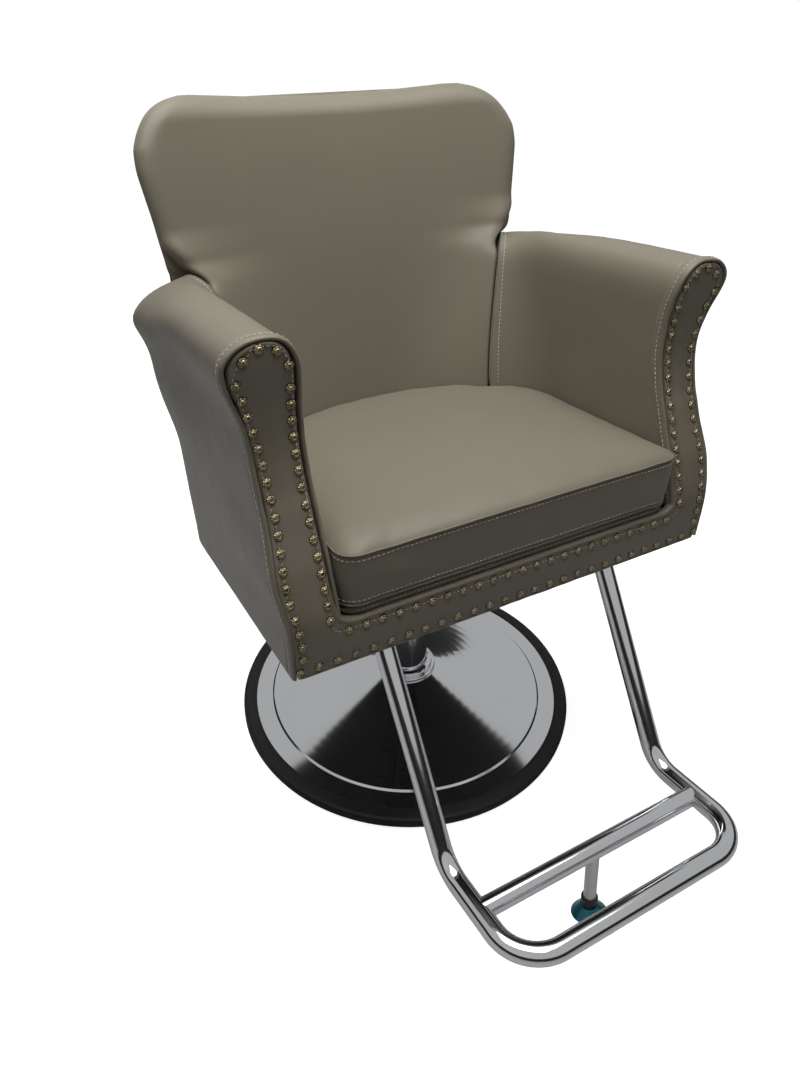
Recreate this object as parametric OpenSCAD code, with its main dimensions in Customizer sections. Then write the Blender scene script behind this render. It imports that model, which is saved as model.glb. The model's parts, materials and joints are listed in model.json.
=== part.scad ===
// Hydraulic hairdressing chair: dish base, pump column, pedal, upholstered tub seat and footrest.
// The chair faces -Y, +X is to the right seen from the front, and the floor is at z = 0.
// The tub is drawn level in its own frame and then raked backwards as one unit.

/* [Base] */
// Radius of the rubber edge on the floor
base_r = 300; // [292:1:306]
// Height of the dish where the pump stands on it
dish_top_z = 72; // [70:1:74]
// Radius of the polished column
column_r = 36; // [35.5:0.1:37]
// Height of the top of the column
column_top_z = 322; // [312:1:324]

/* [Footrest] */
// Radius of the footrest tube
tube_r = 14; // [12:0.5:14.5]
// Half the distance between the two footrest legs
leg_x = 182; // [176:1:186]
// Distance of the front bar in front of the column axis
footrest_front_y = 594; // [584:1:604]

/* [Seat] */
// Half the width of the front panel at its foot
shell_half_w = 320; // [318:1:322]
// Height of the arms above the underside of the tub
arm_h = 398; // [394:1:400]
// Rise of the crown of the seat cushion over its top seam
cushion_crown = 15; // [8:1:18]
// Backward rake of the tub
rake_angle = 6; // [5.5:0.25:6.5]

/* [Hidden] */
overrun = 1;
clear = 0.4;
edge_break = 1;
round_fn = 64;
bend_fn = 48;

// Sheet and plate thicknesses
sheet_t = 2;
plate_t = 5;
board_t = 12;
skin_t = 6;

// Base stack
base_plate_z = 4;
base_plate_t = 4;
hub_r = 58;
hub_bore_r = 50;
hub_ring_t = 8;
hub_top_z = dish_top_z - sheet_t;
plate_hole_r = 48;
dish_flat_r = 54;
rubber_w = 24;
dish_rim_w = 32;
dish_edge_r = base_r - rubber_w;
dish_lip_r = dish_edge_r - dish_rim_w;
plate_inset = 22;
base_plate_r = dish_edge_r - plate_inset;
dish_lip_z = 21;
dish_edge_z = 18.5;
dish_sag_share = 0.62;
dish_steps = 12;
dish_lip_rise = 3;
rubber_under_w = 14;
rubber_in_r = dish_edge_r - rubber_under_w;
rubber_top_z = 16.2;
rubber_lip_w = 5;
rubber_lip_z = 21;
rubber_step_z = 20.4;
// Outside of the rubber edge: distance from its radius, height
rubber_profile = [[-3, 0], [0, 4], [0, 12], [-2, 17], [-6, 19.5]];
rubber_rib_pitch = 3.4;
rubber_ribs = 4;
rubber_rib_r = 1.2;
rubber_rib_z = 3.4;

// Pump
spigot_wall = 2.4;
spigot_r = column_r - spigot_wall;
spigot_z = 106;
collar_r = 52;
collar_step_r = 46;
collar_mid_z = 78;
collar_z = 84;
collar_land = 4;
neck_z = 87;
sleeve_z = 87.2;
lip_r = column_r + 2;
lip_t = 5;
lip_round = 1.5;
lip_ease = 0.8;
pump_bore_r = 26;
pump_body_r = 33;
pump_foot_z = 16;
cylinder_in_r = 22.2;
cylinder_z = 18;
cylinder_drop = 14;
cylinder_top_z = column_top_z - cylinder_drop;
pump_bolt_pcr = 42;
pump_bolt_r = 3;
pump_bolt_head_r = 5;
pump_bolt_head_t = 5;
pump_bolt_len = 16;
pump_bolt_tap = 7;
ram_r = 21;
ram_clear = 0.05;
ram_z = 78;
piston_r = 22.1;
piston_t = 20;
piston_groove_t = 3;
piston_groove_at = 8;
piston_groove_depth = 2;
spindle_r = 16;
spindle_z = 385;
spindle_top_z = 428;
bush_depth = 34;
wiper_t = 6;
wiper_lip_w = 3;
wiper_lip_h = 2;
bearing_t = 4;
bearing_r = 26;

// Pedal
boss_half_w = 16;
boss_front_y = 39;
boss_foot_z = 74;
boss_rear_y = 72;
boss_top_z = 94;
lug_t = 5;
lug_front_y = 40;
lug_foot_z = 92;
lug_gap = 10.2;
pin_y = 49;
pin_z = 110;
pin_r = 4;
pin_end = 3;
lug_r = 9;
clip_r = 6.5;
clip_t = 1.2;
lever_hub_r = 8;
lever_half_w = 10;
lever_t = 9;
lever_end_y = 350;
lever_drop = 24;
plunger_y = 63;
plunger_r = 4;
plunger_head_r = 6.5;
plunger_head_t = 3;
plunger_tip_r = 0.3;
plunger_dome_h = 1.7;
plunger_z = 77.5;
plunger_foot_z = 81.5;
pedal_gap = 0.1;
spring_z = 84;
spring_wire_r = 0.8;
spring_r = 5.4;
spring_turns = 5;
pocket_r = 7;
pedal_pad_y = 382;
pedal_pad_half_w = 42;
pedal_pad_len = 56;
pedal_pad_t = 12;
pedal_pad_ribs = 6;
pedal_pad_corner = 8;
pad_groove_r = 1.4;

// Tub frame of reference
shell_y = 290;
shell_z = 434;
hub_y = 288;
rail_top = 66;
frame_in_z = 40;
rail_foot_z = 8;
side_rail_w = 21;
rail_front_y = 19;
corner_y = 345;
rail_past_corner = 57;
rail_end_y = corner_y + rail_past_corner;
rail_t = 20;
cross_rails = [[46, 106], [196, 240], [336, 378]];
seat_plate_half_w = 110;
seat_plate_y = [200, 374];
seat_plate_z = frame_in_z - plate_t;
hub_boss_r = 30;
hub_foot_z = 385.1;
hub_rise = 90;
rib_t = 8;
rib_reach = 72;
rib_in_r = 20;
rib_out_r = 34;
rib_foot = 8;
rib_over = 60;
plate_bolt_x = 92;
plate_bolt_y = [218, 357];
screw_r = 4;
screw_head_r = 7;
screw_head_t = 5;
screw_len = 22;

// Seat and arms
table_unit_share = 6.03030303;
table_unit = table_unit_share * rail_top;
depth_unit_share = 1.15362319;
depth_unit = depth_unit_share * corner_y;
width_unit_share = 1.24375;
width_unit = width_unit_share * shell_half_w;
seat_line_share = 0.1709;
shell_edge_share = 0.8040201;
arm_face_share = 0.6457;
arm_w_share = 0.15829146;
arm_in_x = shell_half_w - arm_w_share * table_unit;
board_inset = 19.8;
board_x = shell_half_w - board_inset;
side_rail_gap = 1.2;
side_rail_x = board_x - side_rail_gap - side_rail_w;
cheek_t = 9.5;
board_depth = 18.2;
deck_side_gap = 1.5;
deck_half_w = arm_in_x - deck_side_gap;
deck_t = 10;
deck_corner = 26;
deck_gap = 4.5;
deck_top = rail_top + clear + deck_t;
cushion_foot = deck_top + 0.6;
cushion_seam_high = 152;
arm_curve_share = 0.6;
arm_station_shares = [0, 0.12, 0.3, 0.48, 0.6, 0.68, 0.76, 0.84, 0.92, 1];

// Half outline of the front panel, outside and inside: width and height
outline_out_shares = [
    [0.8040, 0], [0.8040, 0.1005], [0.8090, 0.1884], [0.8216, 0.3015], [0.8166, 0.3769],
    [0.8065, 0.4648], [0.8040, 0.5402], [0.8103, 0.6784], [0.8241, 0.7538], [0.8442, 0.8417],
    [0.8580, 0.8869], [0.8618, 0.9171], [0.8543, 0.9472], [0.8392, 0.9698], [0.8166, 0.9874],
    [0.7864, 0.9975]];
outline_in_shares = [
    [0.7513, 1.0000], [0.7186, 0.9899], [0.6910, 0.9724], [0.6683, 0.9472], [0.6558, 0.9146],
    [0.6508, 0.8794], [0.6508, 0.2136], [0.6445, 0.1884], [0.6281, 0.1709], [0.6055, 0.1658]];
// Front face of the panel seen from the side: depth and height
profile_shares = [
    [0, 0], [-0.0113, 0.1658], [-0.0101, 0.1910], [0, 0.2412], [0.0151, 0.2940],
    [0.0302, 0.3467], [0.0503, 0.3995], [0.0704, 0.4523], [0.0879, 0.5050], [0.1080, 0.5578],
    [0.1206, 0.6080], [0.1307, 0.6608], [0.1349, 0.7111], [0.1322, 0.7613], [0.1269, 0.8116],
    [0.1156, 0.8618], [0.1030, 0.9095], [0.0930, 0.9598], [0.0854, 1.0101]];
// Seam between arm and back, and the rear corner of the tub: height, distance out, depth
seam_shares = [
    [0.1658, 0.4799, 0.8794], [0.4070, 0.4925, 0.9146], [0.8342, 0.5704, 0.9899],
    [0.9171, 0.5955, 1.0075], [0.9925, 0.6583, 1.0553]];
corner_out_shares = [[0, 0.628], [0.65, 0.640], [0.9925, 0.716]];
// Arm section: inside and outside point at each step
arm_section_shares = [
    [0.6457, 0.1668, 0.7528, 0.1668], [0.6457, 0.2890, 0.7528, 0.2890],
    [0.6457, 0.4070, 0.7528, 0.4070], [0.6457, 0.5402, 0.7528, 0.5402],
    [0.6457, 0.6080, 0.7528, 0.6080], [0.6457, 0.6784, 0.7528, 0.7136], [0.6457, 0.7538, 0.8040, 0.7161],
    [0.6457, 0.8166, 0.8216, 0.7563], [0.6462, 0.8693, 0.8417, 0.8291],
    [0.6508, 0.9070, 0.8568, 0.8844], [0.6621, 0.9422, 0.8543, 0.9297],
    [0.6834, 0.9698, 0.8291, 0.9673], [0.7111, 0.9849, 0.7940, 0.9859],
    [0.7387, 0.9912, 0.7638, 0.9912]];
side_section_shares = [
    [0.7876, 0.0000, 0.8040, 0.0000], [0.7876, 0.1658, 0.8040, 0.1658],
    [0.7876, 0.2412, 0.8040, 0.2412], [0.7876, 0.3467, 0.8040, 0.3467],
    [0.7876, 0.4523, 0.8040, 0.4523], [0.7876, 0.5402, 0.8040, 0.5402],
    [0.7876, 0.6080, 0.8040, 0.6080], [0.7876, 0.6608, 0.8040, 0.6608],
    [0.7876, 0.7111, 0.8040, 0.7111]];
// Back pad above the arms: height and half width
wing_shares = [
    [1.0010, 0.7160], [1.0350, 0.7186], [1.1206, 0.7274], [1.2183, 0.7412], [1.3080, 0.7487],
    [1.3680, 0.7400], [1.4150, 0.7200], [1.4520, 0.6920], [1.4780, 0.6560], [1.4920, 0.6060]];

// Shares made into places: heights follow the arm tops above the seat line, widths follow the seat's
// width and keep the thickness of the arms
function up(share) =
    table_unit * share + (arm_h - table_unit) * max(0, share - seat_line_share) / (1 - seat_line_share);
function across(share) =
    table_unit * share + (shell_half_w - table_unit * shell_edge_share) * min(1, share / arm_face_share);
arm_profile = [for (p = profile_shares) [depth_unit * p[0], up(p[1])]];
seam_table = [for (p = seam_shares) [up(p[0]), across(p[1]), depth_unit * p[2]]];
corner_table = [for (p = corner_out_shares) [up(p[0]), across(p[1])]];
outline_out = [for (p = outline_out_shares) [across(p[0]), up(p[1])]];
outline_in = [for (p = outline_in_shares) [across(p[0]), up(p[1])]];
wing_table = [for (p = wing_shares) [up(p[0]), across(p[1])]];

back_lean_share = 0.176;
back_in_depth = 88;
back_in_y = corner_y + back_in_depth;
back_in_z = 162;
back_out_depth = 119;
back_out_y = corner_y + back_out_depth;
back_sag = 69;
wing_sag = 50;
wing_run_share = 0.15;
back_skin_gap = 0.9;
back_board_t = 7;
back_board_top_share = 1.3567839;
back_board_top = up(back_board_top_share);
back_board_margin = 30;
crest_dip = 8;
pad_gap = 1;
pad_gap_top = 2.6;
skin_bevel = 5;
skin_margin = 1.5;

function reach(xs, ys, x) = lookup(x, [for (i = [0 : len(xs) - 1]) [xs[i], ys[i]]]);
function column_of(table, i) = [for (row = table) row[i]];
function front_y(z) = reach(column_of(arm_profile, 1), column_of(arm_profile, 0), z);
function seam_x(z) = reach(column_of(seam_table, 0), column_of(seam_table, 1), z);
function seam_y(z) = reach(column_of(seam_table, 0), column_of(seam_table, 2), z);
function corner_x(z) = reach(column_of(corner_table, 0), column_of(corner_table, 1), z);
function out_y(z) = back_out_y + back_lean_share * z;
function in_y(z) = back_in_y + back_lean_share * (z - back_in_z);

// Plan curves of the tub wall at height z, from the front edge (t = 0) to the rear seam (t = 1)
bezier_run = 95;
bezier_pull = 30;
function inner_curve(z, t) =
    let (y0 = front_y(z) + board_depth + clear, y1 = seam_y(z) - bezier_run,
         u = max(0, (t - arm_curve_share) / (1 - arm_curve_share)),
         a = [arm_in_x, y1], c = [arm_in_x, seam_y(z) - bezier_pull], s = [seam_x(z), seam_y(z)])
    t <= arm_curve_share
        ? [arm_in_x, y0 + (y1 - y0) * t / arm_curve_share]
        : (1 - u) * (1 - u) * a + 2 * u * (1 - u) * c + u * u * s;
// The outside wall turns the rear corner as a curve of the fourth power
function wall_y(x, z) =
    corner_y + (out_y(z) - corner_y) * pow(1 - pow(min(1, abs(x) / shell_half_w), 4), 1 / 4);
function outer_curve(z, t) =
    let (y0 = front_y(z) + board_depth + clear,
         u = max(0, (t - arm_curve_share) / (1 - arm_curve_share)),
         last = acos(pow(corner_x(z) / shell_half_w, 2)),
         x = shell_half_w * sqrt(cos(last * u)))
    t <= arm_curve_share
        ? [shell_half_w, y0 + (corner_y - y0) * t / arm_curve_share]
        : [x, corner_y + (out_y(z) - corner_y) * sqrt(sin(last * u))];
// The rolled top fades and droops towards the rear corner, where the side flares out below it
roll_droop = 60;
roll_flare = 14;
flare_share = 0.678;
flare_reach_share = 0.226;
function roll_fade(t) = t <= arm_curve_share ? 1 : 1 - pow((t - arm_curve_share) / (1 - arm_curve_share), 2.5);
function wall_share(x) = (x - arm_in_x) / (shell_half_w - arm_in_x);
function droop(x, z, t) =
    let (rear = max(0, (t - 0.5) / 0.5), high = max(0, z / arm_h - 0.45) / 0.55, w = max(0, wall_share(x)))
    rear * high * (0.2 + 0.8 * w) * roll_droop;
function flare(z, t) =
    let (k = min(1, max(0, (t - 0.3) / 0.5)), b = (z / arm_h - flare_share) / flare_reach_share)
    roll_flare * max(0, 1 - b * b) * k * k * (3 - 2 * k) * roll_fade(t);
function wall_point(x, z, t) =
    let (w = wall_share(x), v = w > 1 ? 1 + (w - 1) * roll_fade(t) : w, zd = z - droop(x, z, t),
         out = w > 0.85 ? flare(z, t) / (shell_half_w - arm_in_x) : 0,
         i = inner_curve(zd, t), o = outer_curve(zd, t), p = i + (o - i) * (v + out))
    [p[0], p[1], zd];

// Solid through a list of rings, each ring a run of points and its opposite run read backwards
module loft(rings) {
    n = len(rings[0]);
    last = len(rings) - 1;
    half = n / 2;
    sides = [for (k = [0 : last - 1], i = [0 : n - 1])
        let (a = k * n + i, b = k * n + (i + 1) % n) each [[a, b, b + n], [a, b + n, a + n]]];
    foot = [for (i = [0 : half - 2]) each
        [[i, n - 1 - i, i + 1], [i + 1, n - 1 - i, n - 2 - i]]];
    head = [for (i = [0 : half - 2]) let (o = last * n) each
        [[o + i, o + i + 1, o + n - 1 - i], [o + i + 1, o + n - 2 - i, o + n - 1 - i]]];
    polyhedron([for (r = rings) each r], concat(sides, foot, head));
}

function reversed(list) = [for (i = [len(list) - 1 : -1 : 0]) list[i]];
function mirrored_x(list) = [for (p = list) [-p[0], p[1]]];

// Ring of a wall section at station t
function wall_ring(section, t) = concat(
    [for (s = section) wall_point(s[0], s[1], t)],
    reversed([for (s = section) wall_point(s[2], s[3], t)]));

module wall(section_shares) {
    section = [for (q = section_shares) [across(q[0]), up(q[1]), across(q[2]), up(q[3])]];
    loft(reversed([for (t = arm_station_shares) wall_ring(section, t)]));
}

module raked() {
    translate([0, -shell_y, shell_z]) rotate([-rake_angle, 0, 0]) children();
}

module both_sides() {
    children();
    mirror([1, 0, 0]) children();
}

module around(count, r, start = 0) {
    for (i = [0 : count - 1]) rotate(start + i * 360 / count) translate([r, 0, 0]) children();
}

module block(x, y, z) {
    translate([x[0], y[0], z[0]]) cube([x[1] - x[0], y[1] - y[0], z[1] - z[0]]);
}

// Plate drawn in the YZ plane between two distances from the middle
module side_plate(x0, x1, points) {
    translate([x0, 0, 0]) rotate([90, 0, 90]) linear_extrude(x1 - x0) polygon(points);
}

// Base

function dish_z(r) =
    let (u = (dish_lip_r - r) / (dish_lip_r - dish_flat_r))
    dish_lip_z + dish_lip_rise
    + (dish_top_z - dish_lip_z - dish_lip_rise) * ((1 - dish_sag_share) * u + dish_sag_share * u * u);

module base_dish() {
    color([0.82, 0.83, 0.85])
    rotate_extrude($fn = 2 * round_fn) {
        top = concat(
            [[pump_body_r + clear, dish_top_z]],
            [for (i = [0 : dish_steps])
                let (r = dish_flat_r + (dish_lip_r - dish_flat_r) * i / dish_steps) [r, dish_z(r)]],
            [[dish_lip_r + dish_lip_rise, dish_lip_z], [dish_edge_r, dish_edge_z]]);
        polygon(concat(top, reversed([for (p = top) [p[0], p[1] - sheet_t]])));
    }
}

module base_rubber_edge() {
    color([0.05, 0.05, 0.05])
    difference() {
        rotate_extrude($fn = 2 * round_fn)
            polygon(concat(
                [[rubber_in_r, 0]], [for (p = rubber_profile) [base_r + p[0], p[1]]],
                [[dish_edge_r + rubber_lip_w, rubber_lip_z], [dish_edge_r + clear, rubber_step_z],
                 [dish_edge_r + clear, rubber_top_z], [rubber_in_r, rubber_top_z]]));
        for (i = [0 : rubber_ribs - 1])
            rotate_extrude($fn = 2 * round_fn)
                translate([base_r + rubber_rib_r / 3, rubber_rib_z + i * rubber_rib_pitch])
                circle(rubber_rib_r, $fn = 12);
    }
}

module base_plate() {
    color([0.3, 0.3, 0.31])
    difference() {
        translate([0, 0, base_plate_z]) cylinder(base_plate_t, base_plate_r, base_plate_r, $fn = 2 * round_fn);
        translate([0, 0, base_plate_z - overrun])
            cylinder(base_plate_t + 2 * overrun, plate_hole_r, plate_hole_r, $fn = round_fn);
    }
}

module base_hub() {
    color([0.3, 0.3, 0.31])
    difference() {
        rotate_extrude($fn = round_fn)
            polygon([
                [hub_bore_r, base_plate_z + base_plate_t], [hub_r, base_plate_z + base_plate_t],
                [hub_r, dish_z(hub_r) - sheet_t - 2 * clear], [dish_flat_r, hub_top_z],
                [pump_body_r + clear, hub_top_z], [pump_body_r + clear, hub_top_z - hub_ring_t],
                [hub_bore_r, hub_top_z - hub_ring_t]]);
        around(4, pump_bolt_pcr, 45)
            translate([0, 0, hub_top_z - hub_ring_t - overrun])
                cylinder(hub_ring_t + 2 * overrun, pump_bolt_r + clear, pump_bolt_r + clear, $fn = 24);
    }
}

module dish_with_bolt_holes() {
    difference() {
        base_dish();
        around(4, pump_bolt_pcr, 45)
            translate([0, 0, dish_top_z - 2 * sheet_t])
                cylinder(3 * sheet_t, pump_bolt_r + clear, pump_bolt_r + clear, $fn = 24);
    }
}

module pump_base() {
    color([0.8, 0.81, 0.83])
    difference() {
        union() {
            rotate_extrude($fn = round_fn)
                polygon([
                    [0, pump_foot_z], [pump_body_r, pump_foot_z], [pump_body_r, dish_top_z],
                    [collar_r, dish_top_z], [collar_r, collar_mid_z - edge_break],
                    [collar_r - edge_break, collar_mid_z],
                    [collar_step_r, collar_mid_z], [collar_step_r, collar_z - edge_break],
                    [collar_step_r - edge_break, collar_z], [collar_step_r - collar_land, collar_z],
                    [column_r - edge_break, neck_z], [spigot_r, neck_z], [spigot_r, spigot_z], [0, spigot_z]]);
            block([-boss_half_w, boss_half_w], [boss_front_y, boss_rear_y], [boss_foot_z, boss_top_z]);
            for (s = [-1, 1])
                translate([s * (lug_gap + lug_t / 2) - lug_t / 2, 0, 0]) {
                    block([0, lug_t], [lug_front_y, pin_y + lug_r], [lug_foot_z, pin_z]);
                    translate([0, pin_y, pin_z]) rotate([0, 90, 0])
                        cylinder(lug_t, lug_r, lug_r, $fn = bend_fn);
                }
        }
        translate([0, 0, pump_foot_z + sheet_t])
            cylinder(spigot_z, pump_bore_r, pump_bore_r, $fn = round_fn);
        around(4, pump_bolt_pcr, 45)
            translate([0, 0, dish_top_z - overrun])
                cylinder(pump_bolt_tap + overrun, pump_bolt_r, pump_bolt_r, $fn = 24);
        translate([-2 * boss_half_w, pin_y, pin_z]) rotate([0, 90, 0])
            cylinder(4 * boss_half_w, pin_r, pin_r, $fn = bend_fn);
        translate([0, plunger_y, plunger_z - overrun])
            cylinder(boss_top_z, plunger_r + ram_clear, plunger_r + ram_clear, $fn = bend_fn);
        translate([0, plunger_y, spring_z])
            cylinder(boss_top_z, pocket_r, pocket_r, $fn = bend_fn);
    }
}

module pump_bolts() {
    color([0.25, 0.25, 0.26])
    around(4, pump_bolt_pcr, 45) {
        translate([0, 0, hub_top_z - hub_ring_t - pump_bolt_head_t])
            cylinder(pump_bolt_head_t, pump_bolt_head_r, pump_bolt_head_r, $fn = 6);
        translate([0, 0, hub_top_z - hub_ring_t])
            cylinder(pump_bolt_len, pump_bolt_r, pump_bolt_r, $fn = 24);
    }
}

module column_sleeve() {
    color([0.82, 0.83, 0.85])
    rotate_extrude($fn = round_fn)
        polygon([
            [spigot_r + clear / 4, sleeve_z], [lip_r - edge_break, sleeve_z], [lip_r, sleeve_z + edge_break],
            [lip_r, sleeve_z + lip_t - lip_round], [lip_r - lip_ease, sleeve_z + lip_t],
            [column_r, sleeve_z + lip_t + lip_round], [column_r, column_top_z - edge_break],
            [column_r - edge_break, column_top_z], [spigot_r + clear / 4, column_top_z]]);
}

module pump_cylinder() {
    color([0.45, 0.45, 0.47])
    difference() {
        translate([0, 0, cylinder_z])
            cylinder(cylinder_top_z - cylinder_z, pump_bore_r, pump_bore_r, $fn = round_fn);
        translate([0, 0, cylinder_z + plate_t])
            cylinder(cylinder_top_z, cylinder_in_r, cylinder_in_r, $fn = round_fn);
    }
}

module guide_bush() {
    color([0.72, 0.55, 0.25])
    rotate_extrude($fn = round_fn)
        polygon([
            [ram_r + ram_clear, cylinder_top_z - bush_depth], [cylinder_in_r, cylinder_top_z - bush_depth],
            [cylinder_in_r, cylinder_top_z], [spigot_r, cylinder_top_z],
            [spigot_r, column_top_z - wiper_t], [ram_r + ram_clear, column_top_z - wiper_t]]);
}

module wiper_seal() {
    color([0.05, 0.05, 0.05])
    rotate_extrude($fn = round_fn)
        polygon([
            [ram_r + ram_clear, column_top_z - wiper_t], [spigot_r, column_top_z - wiper_t],
            [spigot_r, column_top_z], [ram_r + wiper_lip_w, column_top_z],
            [ram_r + ram_clear, column_top_z + wiper_lip_h]]);
}

module pedal_pin() {
    color([0.6, 0.6, 0.62])
    translate([-lug_gap - lug_t - pin_end, pin_y, pin_z]) rotate([0, 90, 0])
        cylinder(2 * (lug_gap + lug_t + pin_end), pin_r, pin_r, $fn = bend_fn);
}

module pin_clips() {
    color([0.2, 0.2, 0.21])
    both_sides()
    translate([lug_gap + lug_t, pin_y, pin_z]) rotate([0, 90, 0])
        difference() {
            cylinder(clip_t, clip_r, clip_r, $fn = 32);
            translate([0, 0, -overrun]) cylinder(clip_t + 2 * overrun, pin_r, pin_r, $fn = bend_fn);
        }
}

module pedal_lever() {
    color([0.8, 0.81, 0.83])
    difference() {
        union() {
            translate([-lever_half_w, pin_y, pin_z]) rotate([0, 90, 0])
                cylinder(2 * lever_half_w, lever_hub_r, lever_hub_r, $fn = bend_fn);
            side_plate(-lever_half_w, lever_half_w, [
                [pin_y, pin_z - lever_t / 2], [plunger_y + plunger_head_r, pin_z - lever_t / 2],
                [lever_end_y, pin_z - lever_drop - lever_t / 2],
                [pedal_pad_y, pin_z - lever_drop - lever_t / 2],
                [pedal_pad_y, pin_z - lever_drop], [lever_end_y, pin_z - lever_drop + lever_t / 2],
                [plunger_y + plunger_head_r, pin_z + lever_t / 2], [pin_y, pin_z + lever_t / 2]]);
        }
        translate([-2 * lever_half_w, pin_y, pin_z]) rotate([0, 90, 0])
            cylinder(4 * lever_half_w, pin_r + ram_clear, pin_r + ram_clear, $fn = bend_fn);
    }
}

module pedal_pad() {
    color([0.05, 0.05, 0.05])
    difference() {
        translate([0, pedal_pad_y - pedal_pad_len / 2, pin_z - lever_drop])
            linear_extrude(pedal_pad_t)
                polygon([for (q = [[-1, -1], [1, -1], [1, 1], [-1, 1]])
                    let (w = pedal_pad_half_w, h = pedal_pad_len / 2, c = pedal_pad_corner)
                    each q[0] * q[1] > 0
                        ? [[q[0] * w, q[1] * (h - c)], [q[0] * (w - c), q[1] * h]]
                        : [[q[0] * (w - c), q[1] * h], [q[0] * w, q[1] * (h - c)]]]);
        side_plate(-lever_half_w - clear, lever_half_w + clear, [
            [0, pin_z + clear], [plunger_y, pin_z + lever_t / 2 + clear],
            [lever_end_y, pin_z - lever_drop + lever_t / 2 + clear],
            [pedal_pad_y + overrun, pin_z - lever_drop + clear], [pedal_pad_y + overrun, 0], [0, 0]]);
        for (i = [1 : pedal_pad_ribs - 1])
            translate([-2 * pedal_pad_half_w,
                       pedal_pad_y - pedal_pad_len + i * pedal_pad_len / pedal_pad_ribs,
                       pin_z - lever_drop + pedal_pad_t])
                rotate([0, 90, 0]) cylinder(4 * pedal_pad_half_w, pad_groove_r, pad_groove_r, $fn = 16);
    }
}

plunger_top_z = pin_z - lever_t / 2 - pedal_gap;
module plunger() {
    color([0.6, 0.6, 0.62])
    translate([0, plunger_y, plunger_foot_z]) {
        cylinder(plunger_top_z - plunger_foot_z - plunger_dome_h, plunger_r, plunger_r, $fn = bend_fn);
        translate([0, 0, plunger_top_z - plunger_foot_z - plunger_head_t])
            cylinder(plunger_head_t - plunger_dome_h, plunger_head_r, plunger_head_r, $fn = bend_fn);
        translate([0, 0, plunger_top_z - plunger_foot_z - plunger_dome_h])
            cylinder(plunger_dome_h, plunger_head_r, plunger_tip_r, $fn = bend_fn);
    }
}

spring_len = plunger_top_z - plunger_head_t - spring_z - 2 * spring_wire_r;
module plunger_spring() {
    color([0.6, 0.6, 0.62])
    translate([0, plunger_y, spring_z + spring_wire_r])
        linear_extrude(spring_len, twist = -360 * spring_turns, slices = 12 * spring_turns)
            translate([spring_r, 0, 0]) circle(spring_wire_r, $fn = 8);
}

module lift_ram() {
    color([0.82, 0.83, 0.85])
    rotate_extrude($fn = round_fn)
        polygon([
            [0, ram_z], [piston_r - edge_break, ram_z], [piston_r, ram_z + edge_break],
            [piston_r, ram_z + piston_groove_at],
            [piston_r - piston_groove_depth, ram_z + piston_groove_at],
            [piston_r - piston_groove_depth, ram_z + piston_groove_at + piston_groove_t],
            [piston_r, ram_z + piston_groove_at + piston_groove_t],
            [piston_r, ram_z + piston_t], [ram_r, ram_z + piston_t], [ram_r, spindle_z - bearing_t],
            [spindle_r, spindle_z - bearing_t], [spindle_r, spindle_top_z - edge_break],
            [spindle_r - edge_break, spindle_top_z], [0, spindle_top_z]]);
}

module piston_seal() {
    color([0.05, 0.05, 0.05])
    translate([0, 0, ram_z + piston_groove_at])
        difference() {
            cylinder(piston_groove_t, piston_r + ram_clear, piston_r + ram_clear, $fn = round_fn);
            translate([0, 0, -overrun])
                cylinder(piston_groove_t + 2 * overrun, piston_r - piston_groove_depth,
                         piston_r - piston_groove_depth, $fn = round_fn);
        }
}

module thrust_bearing() {
    color([0.55, 0.56, 0.58])
    translate([0, 0, spindle_z - bearing_t])
        difference() {
            cylinder(bearing_t, bearing_r, bearing_r, $fn = round_fn);
            translate([0, 0, -overrun])
                cylinder(bearing_t + 2 * overrun, spindle_r, spindle_r, $fn = round_fn);
        }
}

// Seat carrier

module under_plate() {
    raked() block([-2 * shell_half_w, 2 * shell_half_w], [-shell_half_w, 2 * arm_h], [seat_plate_z, arm_h]);
}

module swivel_hub() {
    color([0.2, 0.2, 0.21])
    difference() {
        union() {
            translate([0, 0, hub_foot_z])
                cylinder(hub_rise, hub_boss_r, hub_boss_r, $fn = round_fn);
            for (a = [45 : 90 : 315])
                rotate(a) rotate([90, 0, 0]) translate([0, 0, -rib_t / 2]) linear_extrude(rib_t)
                    polygon([
                        [rib_in_r, hub_foot_z + rib_foot], [rib_out_r, hub_foot_z + rib_foot],
                        [rib_reach, shell_z - rib_foot], [rib_reach, shell_z + rib_over],
                        [rib_in_r, shell_z + rib_over]]);
        }
        under_plate();
        translate([0, 0, hub_foot_z - overrun])
            cylinder(spindle_top_z + clear - hub_foot_z + overrun, spindle_r + ram_clear,
                     spindle_r + ram_clear, $fn = round_fn);
    }
}

module seat_plate() {
    color([0.2, 0.2, 0.21])
    raked()
    difference() {
        block([-seat_plate_half_w, seat_plate_half_w], seat_plate_y, [seat_plate_z, frame_in_z]);
        for (s = [-1, 1], y = plate_bolt_y)
            translate([s * plate_bolt_x, y, 0])
                cylinder(arm_h, screw_r, screw_r, $fn = 24);
    }
}

module screw_up(z) {
    translate([0, 0, z - screw_head_t]) cylinder(screw_head_t, screw_head_r, screw_head_r, $fn = 6);
    translate([0, 0, z]) cylinder(screw_len, screw_r, screw_r, $fn = 24);
}

module plate_bolts() {
    color([0.6, 0.6, 0.62])
    raked() for (s = [-1, 1], y = plate_bolt_y) translate([s * plate_bolt_x, y, 0]) screw_up(seat_plate_z);
}

leg_plate_half_w = 24;
leg_plate_y = [48, 104];
leg_top_y = 76;
leg_bolt_y = [56, 96];
leg_bolt_x = 16;

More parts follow.
